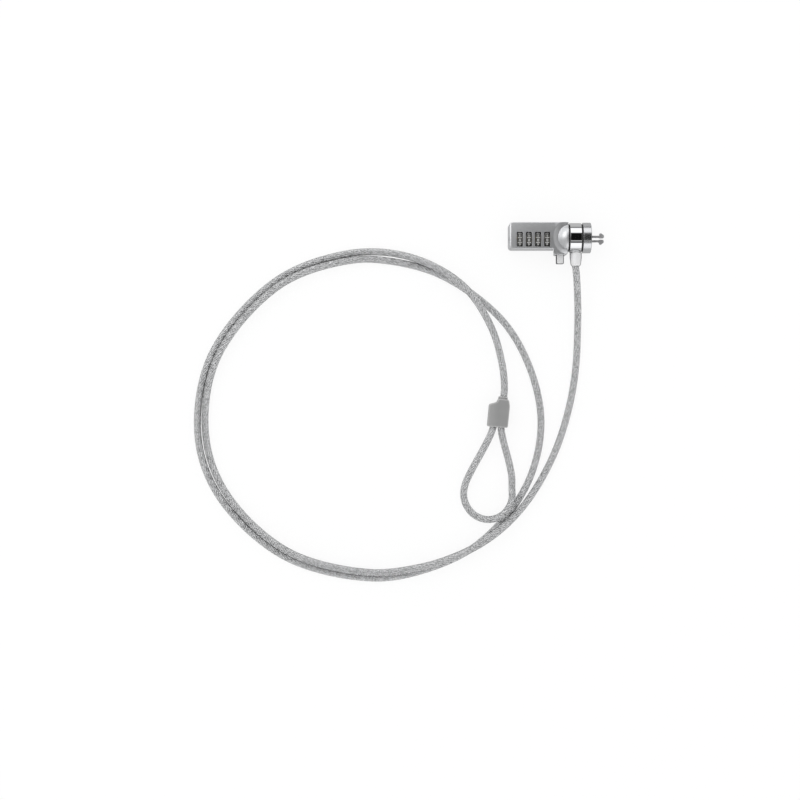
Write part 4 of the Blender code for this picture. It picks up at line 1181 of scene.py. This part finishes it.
# ---- Springs ----------------------------------------
def helix(centre, axis, radius, length, turns):
    per_turn = 20
    points = []
    for step in range(turns * per_turn + 1):
        angle = 2 * math.pi * step / per_turn
        along = length * step / (turns * per_turn)
        across = (radius * math.cos(angle), radius * math.sin(angle))
        offset = (along, *across) if axis == "X" else (*across, along)
        points.append(np.array(centre) + np.array(offset))
    return np.array(points)


def make_springs(metal):
    low, high = mm_box("spindle_spring")
    start = (low.x + 0.14, DIAL_Y, DIAL_Z)
    run = helix(start, "X", 0.78, high.x - low.x - 0.28, 8)
    spring = tube("return_spring", run, 0.14, 10, np.arange(len(run)) * 0.25)
    finished(spring, metal, "lock_head", "steel", "spindle_spring")
    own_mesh(spring)
    low, high = mm_box("hook_spring")
    run = helix((PIVOT_X, HOOK_Y, low.z + 0.18), "Z", 1.2, high.z - low.z - 0.36, 3)
    coil = tube("torsion_spring", run, 0.18, 10, np.arange(len(run)) * 0.38)
    finished(coil, metal, "lock_head", "steel", "hook_spring")


# ---- Studio ----------------------------------------
# What polished metal mirrors over the top of the tent: degrees from straight up towards +Y, and brightness.
TENT = (
    (-180, 0.50), (-98, 0.55), (-92, 0.70), (-86, 0.90), (-64, 1.05),
    (-45, 1.0), (-42, 0.05), (-32, 0.05), (-30, 0.5), (-26, 0.5),
    (-22, 0.005), (32, 0.005), (38, 0.95), (46, 1.05), (74, 1.05),
    (83, 0.12), (99, 0.12), (104, 0.45), (180, 0.50),
)
TENT_LEFT = (0.42, 0.88)  # its brightness past the gap's left end, on the near side and the far side
TENT_RIGHT = 0.30
GAP_LEFT = (-0.35, -0.05)  # where the gap fades out on each side, as the X part of the direction
GAP_RIGHT = (0.30, 0.60)
FLOOR_IN_METAL = 0.5
FLOOR_GLOW = 0.85  # how much of the table's own brightness doesn't depend on the light


def make_tent():
    """A white tent with a dark gap overhead for the camera, which only polished metal shows."""
    world = bpy.data.worlds.new("tent")
    bpy.context.scene.world = world
    world.use_nodes = True
    nodes = Nodes(world.node_tree)
    way = nodes.split(nodes.node("ShaderNodeTexCoord", "Generated"))
    turn = nodes.math("ARCTAN2", way["Y"], way["Z"])
    share = nodes.node("ShaderNodeMapRange", 0, Value=turn, From_Min=-math.pi, From_Max=math.pi)
    stops = [((degrees + 180) / 360, (value, value, value * 1.01)) for degrees, value in TENT]
    over = nodes.ramp(share, *stops)
    near, far = ((value,) * 3 for value in TENT_LEFT)
    left_end = nodes.mix(fade(nodes, way["Y"], -0.15, 0.15), near, far)
    pattern = nodes.mix(fade(nodes, way["X"], *GAP_LEFT), left_end, over)
    pattern = nodes.mix(fade(nodes, way["X"], *GAP_RIGHT), pattern, (TENT_RIGHT,) * 3)
    background = nodes.tree.nodes["Background"]
    nodes.link(background.inputs["Color"], nodes.mix(nodes.mirrored(), (1.0, 1.0, 1.0), pattern))
    background.inputs["Strength"].default_value = 1.05


def fade(nodes, value, start, end):
    """0 below start, 1 above end, smooth between."""
    smooth = (("interpolation_type", "SMOOTHSTEP"),)
    return nodes.node("ShaderNodeMapRange", 0, smooth, Value=value, From_Min=start, From_Max=end)


def make_floor():
    """A pale table, lit so evenly that it keeps little shadow. Metal mirrors it as a grey."""
    look = Look("pale_floor")
    speckle = look.noise(0.02, 2.0)
    look.set(
        Base_Color=look.mix(speckle, (0.93, 0.93, 0.935), (0.95, 0.95, 0.95)),
        Roughness=0.8,
        Specular_IOR_Level=0.1,
    )
    metal = look.mirrored()
    glow = look.node("ShaderNodeEmission", 0, Color=look.mix(metal, (1.0, 1.0, 1.0), (FLOOR_IN_METAL,) * 3))
    direct = look.path("Camera", "Transmission")
    share = look.math("MAXIMUM", look.math("MULTIPLY", direct, FLOOR_GLOW), metal)
    look.surface(look.either(share, look.shader.outputs[0], glow))
    bm = bmesh.new()
    bmesh.ops.create_grid(bm, x_segments=1, y_segments=1, size=3000.0)
    bmesh.ops.translate(bm, vec=(-80.0, -98.0, -0.1), verts=bm.verts)
    floor = object_of("floor", bm)
    floor.data.materials.append(look.material)


def make_lamp():
    lamp = bpy.data.lights.new("soft_box", "AREA")
    lamp.shape = "RECTANGLE"
    lamp.size, lamp.size_y = 0.9, 0.6
    lamp.energy = 1.4
    key = bpy.data.objects.new("soft_box", lamp)
    key.location = (-0.75, 0.55, 0.9)
    key.rotation_euler = (Vector((0.0, 0.0, 0.0)) - key.location).to_track_quat("-Z", "Y").to_euler()
    bpy.context.scene.collection.objects.link(key)


def make_camera():
    """About a metre straight above the middle of the coil."""
    lens = bpy.data.cameras.new("camera")
    lens.lens = 73.8
    lens.clip_start, lens.clip_end = 0.01, 20.0
    camera = bpy.data.objects.new("camera", lens)
    camera.location = (-0.0801, -0.09784, 1.0)
    bpy.context.scene.collection.objects.link(camera)
    bpy.context.scene.camera = camera
    bpy.context.scene.view_settings.view_transform = "Standard"


# ---- Build ----------------------------------------
paint = satin_silver()
hook_steel = steel("hook_steel", (0.46, 0.46, 0.47), (0.66, 0.66, 0.67), 0.38, metallic=0.75)
plain_steel = steel("plain_steel", (0.42, 0.42, 0.43), (0.62, 0.62, 0.63), 0.3)
brass = steel("turned_brass", (0.52, 0.38, 0.16), (0.78, 0.60, 0.30), 0.28, (14.0, 1.5, 1.5))
aluminium = steel("crimped_aluminium", (0.60, 0.61, 0.62), (0.80, 0.81, 0.82), 0.36)
black = plastic("black_acetal", (0.012, 0.012, 0.013), (0.025, 0.025, 0.027), 0.28)
dial_grey = plastic("dial_grey", (0.035, 0.035, 0.033), (0.07, 0.07, 0.066), 0.3)
white = plastic("digit_paint", (0.52, 0.52, 0.51), (0.64, 0.64, 0.63), 0.5, 12.0, 0.01)

make_shells(paint)
make_rivets(plain_steel)
make_dials(dial_grey, white)
make_button(bead_blasted("button_nickel", 0.9, (0.06, 0.28)))
make_hooks(hook_steel)
make_barrel(brushed_cap(), black)
make_collar(chrome(), bead_blasted("tongue_nickel", 0.96, (0.38, 0.78)))
make_reset_screw(plain_steel)
make_springs(plain_steel)
make_cable(rope_wire(), clear_pvc())
make_loop_cover(soft_moulding())

CARRIED = {
    "barrel_core": plain_steel,
    "nose_pin": plain_steel,
    "hook_pivot_pin": plain_steel,
    "release_yoke": plain_steel,
    "spindle": plain_steel,
    "detent_spring": plain_steel,
    "cable_ferrule": plain_steel,
    "loop_ferrule": aluminium,
    "dial_sleeve_1": brass,
    "dial_sleeve_2": brass,
    "dial_sleeve_3": brass,
    "dial_sleeve_4": brass,
}
for node, material in CARRIED.items():
    for material_slot in frame["nodes"][node].material_slots:
        material_slot.material = material
make_tent()
make_floor()
make_lamp()
make_camera()
